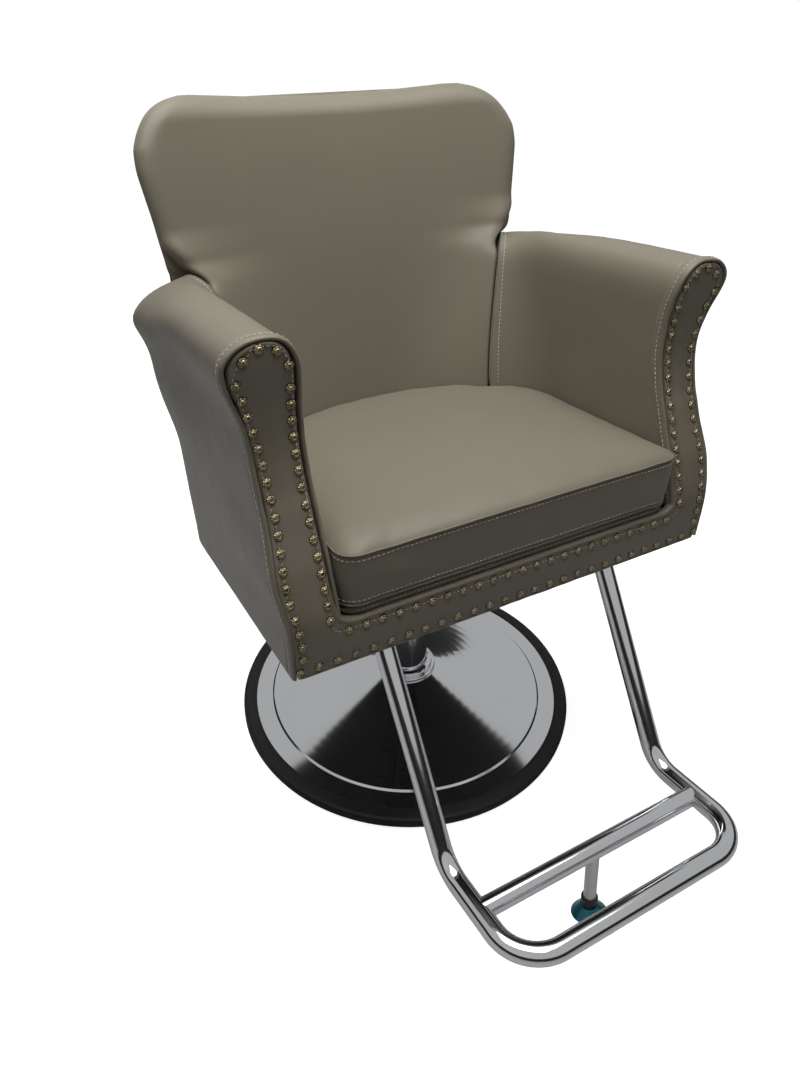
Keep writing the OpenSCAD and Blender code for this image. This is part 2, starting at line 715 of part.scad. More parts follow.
module footrest_brackets() {
    color([0.2, 0.2, 0.21])
    raked() both_sides()
    difference() {
        block([leg_x - leg_plate_half_w, leg_x + leg_plate_half_w], leg_plate_y, [seat_plate_z, frame_in_z]);
        for (i = [0, 1])
            translate([leg_x + (2 * i - 1) * leg_bolt_x, leg_bolt_y[i], 0])
                cylinder(arm_h, screw_r, screw_r, $fn = 24);
    }
}

module footrest_bolts() {
    color([0.6, 0.6, 0.62])
    raked() both_sides() for (i = [0, 1])
        translate([leg_x + (2 * i - 1) * leg_bolt_x, leg_bolt_y[i], 0]) screw_up(seat_plate_z);
}

// Timber frame

module side_rails() {
    color([0.72, 0.6, 0.42])
    raked() both_sides()
        block([side_rail_x, side_rail_x + side_rail_w], [rail_front_y, rail_end_y], [rail_foot_z, rail_top]);
}

module end_rails() {
    color([0.72, 0.6, 0.42])
    raked() {
        block([-side_rail_x, side_rail_x], [rail_front_y, rail_front_y + rail_t], [rail_foot_z, rail_top]);
        block([-side_rail_x, side_rail_x], [rail_end_y - rail_t, rail_end_y], [rail_foot_z, rail_top]);
    }
}

module cross_rails_timber() {
    color([0.72, 0.6, 0.42])
    raked()
    difference() {
        for (y = cross_rails) block([-side_rail_x, side_rail_x], y, [frame_in_z, rail_top]);
        for (s = [-1, 1], y = plate_bolt_y)
            translate([s * plate_bolt_x, y, 0]) cylinder(seat_plate_z + screw_len, screw_r, screw_r, $fn = 24);
        both_sides() for (i = [0, 1])
            translate([leg_x + (2 * i - 1) * leg_bolt_x, leg_bolt_y[i], 0])
                cylinder(seat_plate_z + screw_len, screw_r, screw_r, $fn = 24);
    }
}

gusset_x = [-150, 0, 150];
gusset_len = 46;
module back_gussets() {
    color([0.72, 0.6, 0.42])
    raked() for (x = gusset_x)
        block([x - rail_t / 2, x + rail_t / 2], [rail_end_y, rail_end_y + gusset_len], [rail_foot_z, rail_top]);
}

dust_t = 1.2;
dust_hole_r = 84;
leg_slot_side = 6;
leg_slot_y = 38.6;
leg_slot_len = 44;
module dust_cover() {
    color([0.08, 0.08, 0.08])
    raked()
    translate([0, 0, rail_foot_z - dust_t])
    linear_extrude(dust_t)
    difference() {
        polygon([
            [-side_rail_x - side_rail_w, rail_front_y], [side_rail_x + side_rail_w, rail_front_y],
            [side_rail_x + side_rail_w, rail_end_y], [-side_rail_x - side_rail_w, rail_end_y]]);
        translate([0, hub_y]) circle(dust_hole_r, $fn = round_fn);
        both_sides() translate([leg_x - tube_r - leg_slot_side, leg_slot_y])
            square([2 * (tube_r + leg_slot_side), leg_slot_len]);
    }
}

// Seat

// Half plan of the seat at height z, from the front edge back to the middle of the rear edge
function seat_plan(z, half_w, yf, corner, gap) =
    let (k = half_w / arm_in_x, xs = seam_x(z) * k, n = 5)
    concat(
        [for (i = [0 : 4]) let (a = 90 * i / 4)
            [half_w - corner + corner * sin(a), yf + corner - corner * cos(a)]],
        [for (i = [1 : n]) let (p = inner_curve(z, arm_curve_share + (1 - arm_curve_share) * i / n))
            [p[0] * k, p[1] - gap]],
        [for (i = [1 : 4]) let (u = 1 - i / 4)
            [xs * u, in_y(z) - back_sag * u * u - gap]]);

module seat_deck() {
    color([0.36, 0.33, 0.31])
    raked() translate([0, 0, rail_top + clear]) linear_extrude(deck_t) {
        half = seat_plan(deck_top, deck_half_w, 0, deck_corner, deck_gap);
        polygon(concat(half, reversed(mirrored_x(half))));
    }
}

cushion_ring_shares = [
    [0.0, 0.955, 0.0], [0.0, 0.985, 0.0], [0.045, 1.0, 0.15], [0.5, 1.006, 0.6], [0.955, 1.0, 1.0],
    [1.0, 0.985, 1.0]];
crown_ring_shares = [[0.94, 0.28], [0.86, 0.52], [0.72, 0.76], [0.5, 0.92], [0.25, 1.0]];
cushion_centre_y = 215;
cushion_front_low = -6;
cushion_front_high = -13;
cushion_corner = 26;
cushion_side_gap = 2.4;
cushion_half_w = arm_in_x - cushion_side_gap;
cushion_gap = 2;
cushion_edge = 1.2;
crown_start = 2;

function cushion_ring(z, share, front) =
    let (yf = cushion_front_low + (cushion_front_high - cushion_front_low) * front,
         half = seat_plan(max(z, deck_top), cushion_half_w, yf, cushion_corner, cushion_gap),
         ring = concat(half, reversed([for (i = [0 : len(half) - 2]) [-half[i][0], half[i][1]]])))
    [for (p = ring) [p[0] * share, cushion_centre_y + (p[1] - cushion_centre_y) * share, z]];

module seat_cushion() {
    color([0.36, 0.33, 0.31])
    raked() {
        h = cushion_seam_high - cushion_foot;
        lift = [0, cushion_edge, 0, 0, 0, crown_start];
        lower = [for (i = [0 : len(cushion_ring_shares) - 1]) let (c = cushion_ring_shares[i])
            cushion_ring(cushion_foot + c[0] * h + lift[i], c[1], c[2])];
        crown = [for (c = crown_ring_shares)
            cushion_ring(cushion_seam_high + crown_start + (cushion_crown - crown_start) * c[1], c[0], 1)];
        rings = concat(lower, crown);
        n = len(rings[0]);
        last = len(rings) - 1;
        foot_mid = len(rings) * n;
        sides = [for (k = [0 : last - 1], i = [0 : n - 1])
            let (a = k * n + i, b = k * n + (i + 1) % n) each [[a, b + n, b], [a, a + n, b + n]]];
        caps = [for (i = [0 : n - 1]) let (j = (i + 1) % n) each
            [[foot_mid, i, j], [foot_mid + 1, last * n + j, last * n + i]]];
        polyhedron(concat([for (r = rings) each r],
            [[0, cushion_centre_y, cushion_foot],
             [0, cushion_centre_y, cushion_seam_high + cushion_crown]]), concat(sides, caps));
    }
}

module right_arm() { color([0.36, 0.33, 0.31]) raked() wall(arm_section_shares); }
module left_arm() { mirror([1, 0, 0]) right_arm(); }
module right_side_panel() { color([0.36, 0.33, 0.31]) raked() wall(side_section_shares); }
module left_side_panel() { mirror([1, 0, 0]) right_side_panel(); }

arm_board_top_share = 0.6884422;
arm_board_top = up(arm_board_top_share);
arm_board_short = 1;
arm_board_rear = corner_y - arm_board_short;
arm_board_gap = 1;
module right_arm_board() {
    color([0.72, 0.6, 0.42])
    raked()
    side_plate(board_x, board_x + board_t, concat(
        [[front_y(0) + board_depth + arm_board_gap, rail_foot_z]],
        [[arm_board_rear, rail_foot_z], [arm_board_rear, arm_board_top]],
        reversed([for (p = arm_profile) if (p[1] > rail_foot_z && p[1] < arm_board_top)
            [p[0] + board_depth + arm_board_gap, p[1]]])));
}
module left_arm_board() { mirror([1, 0, 0]) right_arm_board(); }

// Front panel

// U outline of the front seen from the front, drawn in by a margin
module front_outline(margin) {
    outer = [for (p = outline_out) [p[0] - margin, max(p[1] - margin, p[1] == 0 ? margin : 0)]];
    inner = [for (p = outline_in) [p[0] + (p[0] > across(0.7) ? 0 : margin), p[1] - margin]];
    half = concat(outer, inner);
    polygon(concat(half, reversed(mirrored_x(half))));
}

// Band that follows the front face between two depths
module front_band(d0, d1) {
    side_plate(-1.5 * shell_half_w, 1.5 * shell_half_w, concat(
        [for (p = arm_profile) [p[0] + d0, p[1]]],
        reversed([for (p = arm_profile) [p[0] + d1, p[1]]])));
}

module front_layer(d0, d1, margin) {
    raked()
    intersection() {
        translate([0, arm_h / 2, 0]) rotate([90, 0, 0]) linear_extrude(arm_h) front_outline(margin);
        front_band(d0, d1);
    }
}

front_board_margin = 7;
front_board_relief = 1.2;
module front_panel() { color([0.36, 0.33, 0.31]) front_layer(0, cheek_t, 0); }
module front_board() {
    color([0.72, 0.6, 0.42])
    front_layer(cheek_t + clear / 2, board_depth - front_board_relief, front_board_margin);
}

// Dome-headed nails on the front face

nail_r = 5.2;
nail_h = 2.8;
nail_top_share = 0.5;
nail_gap = 0.35;
bottom_row_z = 13;
bottom_row_inset = 8;
bottom_row_x = shell_half_w - bottom_row_inset;
bottom_row_n = 27;
inner_row_z = 52.5;
inner_row_inset = 9;
inner_row_x = arm_in_x - inner_row_inset;
inner_row_n = 23;
outer_column_n = 18;
column_room = 61.4;
column_pitch = (arm_h - column_room) / outer_column_n;
inner_column_n = 15;
inner_column_z = 64.5;
inner_column_inset = 13;
inner_column_x = arm_in_x + inner_column_inset;
outer_inset = 13;
// Nails over the arm top: distance inside the panel's foot corner, distance below the arm top
top_nail_at = [[1, 24], [18, 13.5], [36.5, 18.5], [48.5, 36]];

function outline_x(z) = reach(column_of(outline_out, 1), column_of(outline_out, 0), z);
slope_reach = 4;
function front_slope(z) = atan2(front_y(z + slope_reach) - front_y(z - slope_reach), 2 * slope_reach);

module nail(x, z) {
    translate([x, front_y(z) - nail_gap * cos(front_slope(z)), z + nail_gap * sin(front_slope(z))])
        rotate([90 - front_slope(z), 0, 0])
            cylinder(nail_h, nail_r, nail_r * nail_top_share, $fn = 24);
}

module nail_heads() {
    color([0.32, 0.24, 0.14])
    raked() {
        for (i = [0 : bottom_row_n - 1])
            nail(-bottom_row_x + 2 * bottom_row_x * i / (bottom_row_n - 1), bottom_row_z);
        for (i = [0 : inner_row_n - 1])
            nail(-inner_row_x + 2 * inner_row_x * i / (inner_row_n - 1), inner_row_z);
        both_sides() {
            for (i = [1 : outer_column_n]) {
                z = bottom_row_z + i * column_pitch;
                nail(outline_x(z) - outer_inset, z);
            }
            for (i = [0 : inner_column_n - 1])
                nail(inner_column_x, inner_column_z + (i + 0.5) * column_pitch);
            for (p = top_nail_at) nail(shell_half_w - p[0], arm_h - p[1]);
        }
    }
}

// Back

function blend_up(z) = min(1, max(0, (z - 0.8 * arm_h) / (0.35 * arm_h)));
// Rear surface of the back wall at distance x from the middle, at a depth in from the outer skin
function rear_y(x, z, depth) =
    let (flat = out_y(z) - wall_y(x, z), round = wing_sag * pow(x / (0.66 * width_unit), 2))
    out_y(z) - flat * (1 - blend_up(z)) - round * blend_up(z) - depth;
function face_y(x, z, half_w) =
    let (sag = z < arm_h ? back_sag - (back_sag - wing_sag) * max(0, z / arm_h - 0.83) / 0.17 : wing_sag,
         rise = min(1, max(0, (z / arm_h - 1) / wing_run_share)),
         span = z < arm_h ? seam_x(z) : seam_x(z) + (0.72 * width_unit - seam_x(z)) * rise)
    in_y(z) - sag * pow(x / span, 2);
function crest_z(x, z) =
    z - crest_dip * (1 - pow(min(1, abs(x) / (0.5 * width_unit)), 2)) * max(0, (z / arm_h - 1.3) / 0.2);

pad_steps = 20;
board_share = 0.84;
skin_share = 0.955;
pad_depth = skin_t + back_board_t + 3 * back_skin_gap;
lower_pad_shares = [0.1674, 0.28, 0.407, 0.55, 0.7, 0.8342, 0.9171, 0.975];

// Ring below the arm tops: square ends that meet the arms
function lower_pad_ring(z) =
    let (gap = z > 0.8 * arm_h ? pad_gap_top : pad_gap, xf = seam_x(z) - gap,
         xr = seam_x(z) + (corner_x(z) - seam_x(z)) * 0.84 - gap)
    concat(
        [for (i = [0 : pad_steps]) let (x = xf * (1 - 2 * i / pad_steps))
            [x, face_y(x, z, xf), z]],
        reversed([for (i = [0 : pad_steps]) let (x = xr * (1 - 2 * i / pad_steps))
            [x, rear_y(x, z, pad_depth), z]]));
// Ring above the arms: rounded ends that wrap round the edge of the board
wing_step_shares = [0, 0.16, 0.32, 0.48, 0.62, 0.74, board_share + 0.02, 0.94, 0.975, 0.993, 1];
wing_run = concat(reversed(wing_step_shares), [for (i = [1 : pad_steps / 2]) -wing_step_shares[i]]);
function wing_depth(f, z) =
    abs(f) > board_share + 0.05 || z > 1.38 * arm_h ? skin_t + back_skin_gap : pad_depth;
function upper_pad_ring(z, half_w) =
    let (thin = z > 1.4 * arm_h ? 1 - 0.55 * pow((z / arm_h - 1.4) / 0.1, 2) : 1,
         run = [for (f = wing_run) let (x = half_w * f, y0 = face_y(x, z, half_w),
                y1 = rear_y(x, z, wing_depth(f, z)), mid = (y0 + y1) / 2)
            [x, y0, y1, mid, thin * max(0.15, pow(1 - pow(abs(f), 12), 0.5)),
             thin * max(0.15, pow(1 - pow(abs(f), 30), 0.5)), crest_z(x, z)]])
    concat([for (p = run) [p[0], p[3] + (p[1] - p[3]) * p[4], p[6]]],
        reversed([for (p = run) [p[0], p[3] + (p[2] - p[3]) * p[5], p[6]]]));

module back_pad() {
    color([0.36, 0.33, 0.31])
    raked() loft(concat(
        [for (s = lower_pad_shares) lower_pad_ring(up(s))],
        [for (w = wing_table) upper_pad_ring(w[0], w[1])]));
}

// Curved sheet at a depth inside the outer skin; margins keep it inside the pad outline
function sheet_half_w(z, share, margin) =
    z < 0.9925 * arm_h ? corner_x(z) - pad_gap - margin
        : reach(column_of(wing_table, 0), column_of(wing_table, 1), z) * share;
sheet_steps = 24;
module back_sheet(z0, z1, depth, thick, share, margin, levels) {
    rings = [for (k = [0 : levels]) let (z = z0 + (z1 - z0) * k / levels, w = sheet_half_w(z, share, margin))
        concat(
            [for (i = [0 : sheet_steps]) let (x = (w - skin_bevel) * (1 - 2 * i / sheet_steps))
                [x, rear_y(x, z, depth + thick), z]],
            reversed([for (i = [0 : sheet_steps]) let (x = w * (1 - 2 * i / sheet_steps))
                [x, rear_y(x, z, depth), z]]))];
    loft(rings);
}

outer_back_top_share = 1.4221106;
outer_back_top = up(outer_back_top_share);
module outer_back() {
    color([0.36, 0.33, 0.31])
    raked() back_sheet(0, outer_back_top, 0, skin_t, skin_share, skin_margin, 14);
}

module back_board() {
    color([0.72, 0.6, 0.42])
    raked() back_sheet(rail_foot_z, back_board_top, skin_t + back_skin_gap, back_board_t, board_share,
                       back_board_margin, 13);
}

// Footrest

leg_run = 144.9;
leg_fall = 200;
bar_run = 162.6;
bar_climb = 24.7;
leg_lean = atan2(leg_run, leg_fall);
bar_rise = atan2(bar_climb, bar_run);
bend_vertex_y = 431.4;
bend_vertex_z = 156.3;
bend_r = 50;
corner_r = 57;
tube_wall = 1.8;
leg_turn = 90 - leg_lean + bar_rise;
bend_run = bend_r * tan(leg_turn / 2);
side_bar_len = (footrest_front_y - bend_vertex_y) / cos(bar_rise);
leg_len = 400;
crossbar_at = 74;
crossbar_step = 0.6;
crossbar_r = tube_r - crossbar_step;

// Frame of the footrest loop: origin at the lower bend, +Y runs forward along the side bar
module loop_frame() {
    translate([0, -bend_vertex_y, bend_vertex_z]) rotate([-bar_rise, 0, 0]) rotate(180) children();
}

module rod(r, len) {
    cylinder(len, r, r, $fn = bend_fn);
}

module bend(radius, r, turn) {
    rotate_extrude(angle = turn, $fn = 2 * bend_fn) translate([radius, 0]) circle(r, $fn = bend_fn);
}

// Half of the bent tube, on the +X side
module half_tube(r) {
    loop_frame() {
        translate([-leg_x, 0, 0]) {
            // Side bar, from the lower bend to the front corner
            translate([0, bend_run, 0]) rotate([-90, 0, 0]) rod(r, side_bar_len - bend_run - corner_r);
            // Lower bend, turning down out of the leg
            translate([0, bend_run, bend_r]) rotate([0, 90, 0]) mirror([0, 1, 0])
                bend(bend_r, r, leg_turn);
            // Leg
            rotate([-leg_turn, 0, 0]) translate([0, -bend_run, 0]) rotate([90, 0, 0]) rod(r, leg_len);
            // Front corner and half of the front bar
            translate([corner_r, side_bar_len - corner_r, 0]) rotate(90) bend(corner_r, r, 90);
            translate([corner_r, side_bar_len, 0]) rotate([0, 90, 0]) rod(r, leg_x - corner_r);
        }
    }
}

module footrest_frame() {
    color([0.82, 0.83, 0.85])
    difference() {
        both_sides() half_tube(tube_r);
        under_plate();
        difference() {
            both_sides() half_tube(tube_r - tube_wall);
            under_plate();
        }
    }
}

module footrest_crossbar() {
    color([0.82, 0.83, 0.85])
    difference() {
        loop_frame() translate([-leg_x, crossbar_at, 0]) rotate([0, 90, 0]) rod(crossbar_r, 2 * leg_x);
        loop_frame() translate([-leg_x, 0, 0]) rotate([-90, 0, 0]) rod(tube_r, side_bar_len - corner_r);
        loop_frame() translate([leg_x, 0, 0]) rotate([-90, 0, 0]) rod(tube_r, side_bar_len - corner_r);
    }
}

support_r = 8.8;
support_len = 92;
leg_ring_r = 11.5;
leg_ring_len = 9;
stem_r = 5;
stem_hole = 48;
stem_depth = 36;
ball_r = 6.5;
foot_r = 25;
foot_h = 13;
foot_top_r = 12;
foot_below = 9;
stem_gap = 2;
stem_gap_len = 30;
ball_at = 113;

// Frame of the support leg: +Z runs down from the crossbar, square to the loop
module support_frame() {
    loop_frame() translate([0, crossbar_at, 0]) rotate([180, 0, 0]) children();
}

module support_leg() {
    color([0.66, 0.67, 0.69])
    difference() {
        support_frame() rod(support_r, support_len);
        support_frame() translate([0, 0, support_len - stem_hole]) rod(stem_r + ram_clear, stem_hole + overrun);
        loop_frame() translate([-leg_x, crossbar_at, 0]) rotate([0, 90, 0]) rod(crossbar_r, 2 * leg_x);
    }
}

module leg_ring() {
    color([0.1, 0.1, 0.11])
    support_frame() translate([0, 0, support_len])
    difference() {
        rod(leg_ring_r, leg_ring_len);
        translate([0, 0, -overrun]) rod(stem_r + ram_clear, leg_ring_len + 2 * overrun);
    }
}

module foot_stem() {
    color([0.6, 0.6, 0.62])
    support_frame() {
        translate([0, 0, support_len - stem_depth]) rod(stem_r, ball_at - support_len + stem_depth);
        translate([0, 0, ball_at]) sphere(ball_r, $fn = round_fn);
    }
}

module foot_disc() {
    color([0.1, 0.32, 0.38])
    difference() {
        support_frame() translate([0, 0, ball_at]) rotate([180 + bar_rise, 0, 0])
            translate([0, 0, -foot_below]) cylinder(foot_h, foot_r, foot_top_r, $fn = round_fn);
        support_frame() translate([0, 0, ball_at]) sphere(ball_r + ram_clear, $fn = round_fn);
        support_frame() translate([0, 0, ball_at - stem_gap_len]) rod(stem_r + stem_gap, stem_gap_len);
    }
}

base_plate();
base_rubber_edge();
base_hub();
dish_with_bolt_holes();  // base_dish
pump_base();
pump_bolts();
column_sleeve();
pump_cylinder();
guide_bush();
wiper_seal();
pedal_pin();
pin_clips();
pedal_lever();
pedal_pad();
plunger();
plunger_spring();
lift_ram();
piston_seal();
thrust_bearing();
swivel_hub();
seat_plate();
plate_bolts();
footrest_brackets();
footrest_bolts();
side_rails();
end_rails();
cross_rails_timber();  // cross_rails
back_gussets();
dust_cover();
seat_deck();
seat_cushion();
left_arm();
right_arm();
left_arm_board();
right_arm_board();
left_side_panel();
right_side_panel();
front_panel();
front_board();
nail_heads();
back_pad();
back_board();
outer_back();
footrest_frame();
footrest_crossbar();
support_leg();
leg_ring();
foot_stem();
foot_disc();
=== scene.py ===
import bpy
import bmesh
import json
import math
from mathutils import Vector, Matrix, noise
from mathutils.bvhtree import BVHTree
from mathutils.kdtree import KDTree


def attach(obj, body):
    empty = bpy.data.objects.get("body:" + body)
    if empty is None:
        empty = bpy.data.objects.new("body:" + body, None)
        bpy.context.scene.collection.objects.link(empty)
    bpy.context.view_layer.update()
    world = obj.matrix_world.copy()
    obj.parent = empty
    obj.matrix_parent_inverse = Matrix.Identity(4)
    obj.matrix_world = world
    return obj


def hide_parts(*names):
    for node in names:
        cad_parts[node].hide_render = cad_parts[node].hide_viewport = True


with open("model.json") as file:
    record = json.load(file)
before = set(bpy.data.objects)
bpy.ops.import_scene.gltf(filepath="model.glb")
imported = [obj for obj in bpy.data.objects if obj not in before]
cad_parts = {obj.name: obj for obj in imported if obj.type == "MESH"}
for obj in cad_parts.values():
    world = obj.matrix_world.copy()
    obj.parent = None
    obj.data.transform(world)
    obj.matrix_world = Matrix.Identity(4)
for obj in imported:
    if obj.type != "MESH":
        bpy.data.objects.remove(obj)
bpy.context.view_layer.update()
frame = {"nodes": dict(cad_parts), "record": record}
print("frame loaded")

# Sizes of the tub in millimetres, in its own level frame before it is raked back
tub = {
    "rakeDegrees": 6, "originY": -290, "originZ": 434,
    "halfWidth": 320, "armInside": 257, "armHeight": 398,
    "frontSetback": 18.6, "curveStart": 0.6, "cornerY": 345, "wallPower": 4,
    "backLean": 0.176, "backInnerY": 433, "backInnerZ": 162, "backOuterY": 464,
    "wingSag": 50, "rollDroop": 60, "rollFlare": 14, "flareZ": 270, "flareReach": 125,
    "crestDip": 8, "turnReach": 95, "turnPull": 30,
}
# Front face of the arms seen from the side: height, depth
frontProfile = [(0, 0), (66, -4.5), (76, -4), (96, 0), (117, 6), (138, 12), (159, 20), (180, 28),
                (201, 35), (222, 43), (242, 48), (263, 52), (283, 53.7), (303, 52.6), (323, 50.5),
                (343, 46), (362, 41), (382, 37), (402, 34)]
# Outside of the front panel: height, distance from the middle
panelOutside = [(0, 320), (40, 320), (75, 322), (120, 327), (150, 325), (185, 321), (215, 320),
                (270, 322.5), (300, 328), (335, 336), (353, 341.5), (365, 343), (377, 340), (386, 334),
                (393, 325), (397, 313)]
# Seam between arm and back: height, distance out, depth
seamLine = [(66, 191, 350), (162, 196, 364), (332, 227, 394), (365, 237, 401), (395, 262, 420)]
seamTop = seamLine[-1][0]
# Distance out at which the outer corner's curve ends: height, distance
cornerOut = [(0, 250), (259, 254.5), (395, 285)]
# Outline of the back above the arms: height, half width
wingLine = [(396, 284), (412, 286), (446, 289.5), (485, 295), (512, 298), (532, 296.5), (548, 290),
            (562, 281), (574, 270), (583, 257), (590, 240), (594.5, 219)]


def smoothTable(rows, column=1):
    # Piecewise cubic through the rows, with slopes that never overshoot
    xs = [row[0] for row in rows]
    ys = [row[column] for row in rows]
    steps = [(ys[i + 1] - ys[i]) / (xs[i + 1] - xs[i]) for i in range(len(xs) - 1)]
    slopes = [steps[0]]
    for before, after in zip(steps, steps[1:]):
        slopes.append(0 if before * after <= 0 else 2 * before * after / (before + after))
    slopes.append(steps[-1])

    def value(x):
        x = min(max(x, xs[0]), xs[-1])
        i = max(k for k in range(len(xs) - 1) if xs[k] <= x)
        h = xs[i + 1] - xs[i]
        t = (x - xs[i]) / h
        return ((2 * t ** 3 - 3 * t * t + 1) * ys[i] + (t ** 3 - 2 * t * t + t) * h * slopes[i]
                + (3 * t * t - 2 * t ** 3) * ys[i + 1] + (t ** 3 - t * t) * h * slopes[i + 1])
    return value


frontDepth = smoothTable(frontProfile)
outsideX = smoothTable(panelOutside)
seamX = smoothTable(seamLine, 1)
seamY = smoothTable(seamLine, 2)
cornerX = smoothTable(cornerOut)
wingX = smoothTable(wingLine)


def clamp(value, low=0.0, high=1.0):
    return min(max(value, low), high)


def mixed(a, b, t):
    return a + (b - a) * t


def easeStep(t):
    t = clamp(t)
    return t * t * (3 - 2 * t)


def raked(x, y, z):
    # From the level frame of the tub to the chair, in metres
    angle = math.radians(tub["rakeDegrees"])
    return Vector((x, tub["originY"] + y * math.cos(angle) + z * math.sin(angle),
                   tub["originZ"] - y * math.sin(angle) + z * math.cos(angle))) * 0.001


def outerBackY(z):
    return tub["backOuterY"] + tub["backLean"] * z


def innerBackY(z):
    return tub["backInnerY"] + tub["backLean"] * (z - tub["backInnerZ"])


def innerWall(z, t):
    start = frontDepth(z) + tub["frontSetback"]
    turn = seamY(z) - tub["turnReach"]
    if t <= tub["curveStart"]:
        return Vector((tub["armInside"], mixed(start, turn, t / tub["curveStart"])))
    u = (t - tub["curveStart"]) / (1 - tub["curveStart"])
    a = Vector((tub["armInside"], turn))
    b = Vector((tub["armInside"], seamY(z) - tub["turnPull"]))
    c = Vector((seamX(z), seamY(z)))
    return a * (1 - u) ** 2 + b * 2 * u * (1 - u) + c * u * u


def outerWall(z, t):
    start = frontDepth(z) + tub["frontSetback"]
    if t <= tub["curveStart"]:
        return Vector((tub["halfWidth"], mixed(start, tub["cornerY"], t / tub["curveStart"])))
    u = (t - tub["curveStart"]) / (1 - tub["curveStart"])
    power = 2 / tub["wallPower"]
    last = math.acos((cornerX(z) / tub["halfWidth"]) ** (1 / power))
    return Vector((tub["halfWidth"] * math.cos(last * u) ** power,
                   tub["cornerY"] + (outerBackY(z) - tub["cornerY"]) * math.sin(last * u) ** power))


def rollFade(t):
    return 1 - clamp((t - tub["curveStart"]) / (1 - tub["curveStart"])) ** 2.5


def wallPoint(x, z, t):
    # Point of the tub wall whose distance out is x where the wall is straight
    share = (x - tub["armInside"]) / (tub["halfWidth"] - tub["armInside"])
    high = max(0, z / tub["armHeight"] - 0.45) / 0.55
    low = z - easeStep((t - 0.3) / 1.1) / easeStep(0.7 / 1.1) * high * max(0, share) ** 1.5 * tub["rollDroop"]
    w = 1 + (share - 1) * rollFade(t) if share > 1 else share
    if share > 0.85:
        bump = max(0, 1 - ((z - tub["flareZ"]) / tub["flareReach"]) ** 2) ** 2
        w += tub["rollFlare"] * bump * easeStep((t - 0.3) / 0.5) * rollFade(t) / (tub["halfWidth"] - tub["armInside"])
    inner, outer = innerWall(low, t), outerWall(low, t)
    p = inner + (outer - inner) * w
    return p.x, p.y, low


def wallRearY(x, z):
    share = min(1, abs(x) / tub["halfWidth"]) ** tub["wallPower"]
    return tub["cornerY"] + (outerBackY(z) - tub["cornerY"]) * (1 - share) ** (1 / tub["wallPower"])


def backRearY(x, z, depth=0):
    flat = outerBackY(z) - wallRearY(x, z)
    rounded = tub["wingSag"] * (x / (0.66 * tub["armHeight"])) ** 2
    blendUp = clamp((z / tub["armHeight"] - 0.8) / 0.35)
    return outerBackY(z) - mixed(flat, rounded, blendUp) - depth


def backFaceY(x, z):
    # A wide shallow curve that bends forward beside the arms, to the seam
    low = min(z, seamTop)
    width = 0.72 * tub["armHeight"]
    forward = innerBackY(low) - seamY(low) - tub["wingSag"] * (seamX(low) / width) ** 2
    bend = mixed(2.7, 5.5, easeStep((low - 120) / 275))
    edge = min(1, abs(x) / seamX(low)) ** bend * (1 - easeStep((z - seamTop) / 45))
    return innerBackY(z) - tub["wingSag"] * (x / width) ** 2 - max(0, forward) * edge


# Mesh helpers

def newObject(name, data):
    obj = bpy.data.objects.new(name, data)
    bpy.context.scene.collection.objects.link(obj)
    return obj


def finish(bm, name, material, smooth=True):
    bmesh.ops.recalc_face_normals(bm, faces=bm.faces)
    mesh = bpy.data.meshes.new(name)
    bm.to_mesh(mesh)
    bm.free()
    obj = newObject(name, mesh)
    mesh.materials.append(material)
    for face in mesh.polygons:
        # The flat end caps keep out of the smooth shading
        face.use_smooth = smooth and len(face.vertices) < 5
    return obj


def wrapSkin(bm, around, along, place, weld=0.00002):
    # A grid bent into a closed skin: u runs round the section, v along the piece
    grid = bmesh.ops.create_grid(bm, x_segments=around, y_segments=along, size=0.5)["verts"]
    for vert in grid:
        vert.co = place(vert.co.x + 0.5, vert.co.y + 0.5)
    bmesh.ops.remove_doubles(bm, verts=grid, dist=weld)
    rim = [edge for edge in bm.edges if edge.is_boundary]
    if rim:
        bmesh.ops.holes_fill(bm, edges=rim, sides=0)


def skinObject(name, material, around, along, place):
    bm = bmesh.new()
    wrapSkin(bm, around, along, place)
    return finish(bm, name, material)


def polylineLength(points):
    return sum((b - a).length for a, b in zip(points, points[1:]))


def walked(run, targets):
    # Point and direction at each of the rising distances along a run of points
    out, travelled, i = [], 0.0, 0
    for target in targets:
        while i < len(run) - 2 and travelled + (run[i + 1] - run[i]).length < target:
            travelled += (run[i + 1] - run[i]).length
            i += 1
        seg = run[i + 1] - run[i]
        out.append((run[i] + seg * ((target - travelled) / max(seg.length, 1e-9)), seg.normalized()))
    return out


def spaced(points, pitch, closed=False):
    # Centre and direction of even steps along a run of points
    run = list(points) + ([points[0]] if closed else [])
    total = polylineLength(run)
    count = max(1, round(total / pitch))
    step = total / count
    return walked(run, [(k + 0.5) * step for k in range(count)])


def addPipe(bm, points, radius, sides=8, closed=False):
    # Round cord swept along a run of points
    n = len(points)
    frames = []
    side = None
    for i in range(n):
        ahead = points[(i + 1) % n] if closed or i < n - 1 else points[i]
        behind = points[i - 1] if closed or i > 0 else points[i]
        tangent = (ahead - behind).normalized()
        if side is None:
            side = tangent.orthogonal().normalized()
        side = (side - tangent * side.dot(tangent)).normalized()
        frames.append((points[i], side.copy(), tangent.cross(side)))

    def place(u, v):
        i = round(v * (n if closed else n - 1)) % n
        centre, across, over = frames[i]
        turn = 2 * math.pi * (round(u * sides) % sides) / sides
        return centre + (across * math.cos(turn) + over * math.sin(turn)) * radius
    wrapSkin(bm, sides, n if closed else n - 1, place, radius * 0.01)


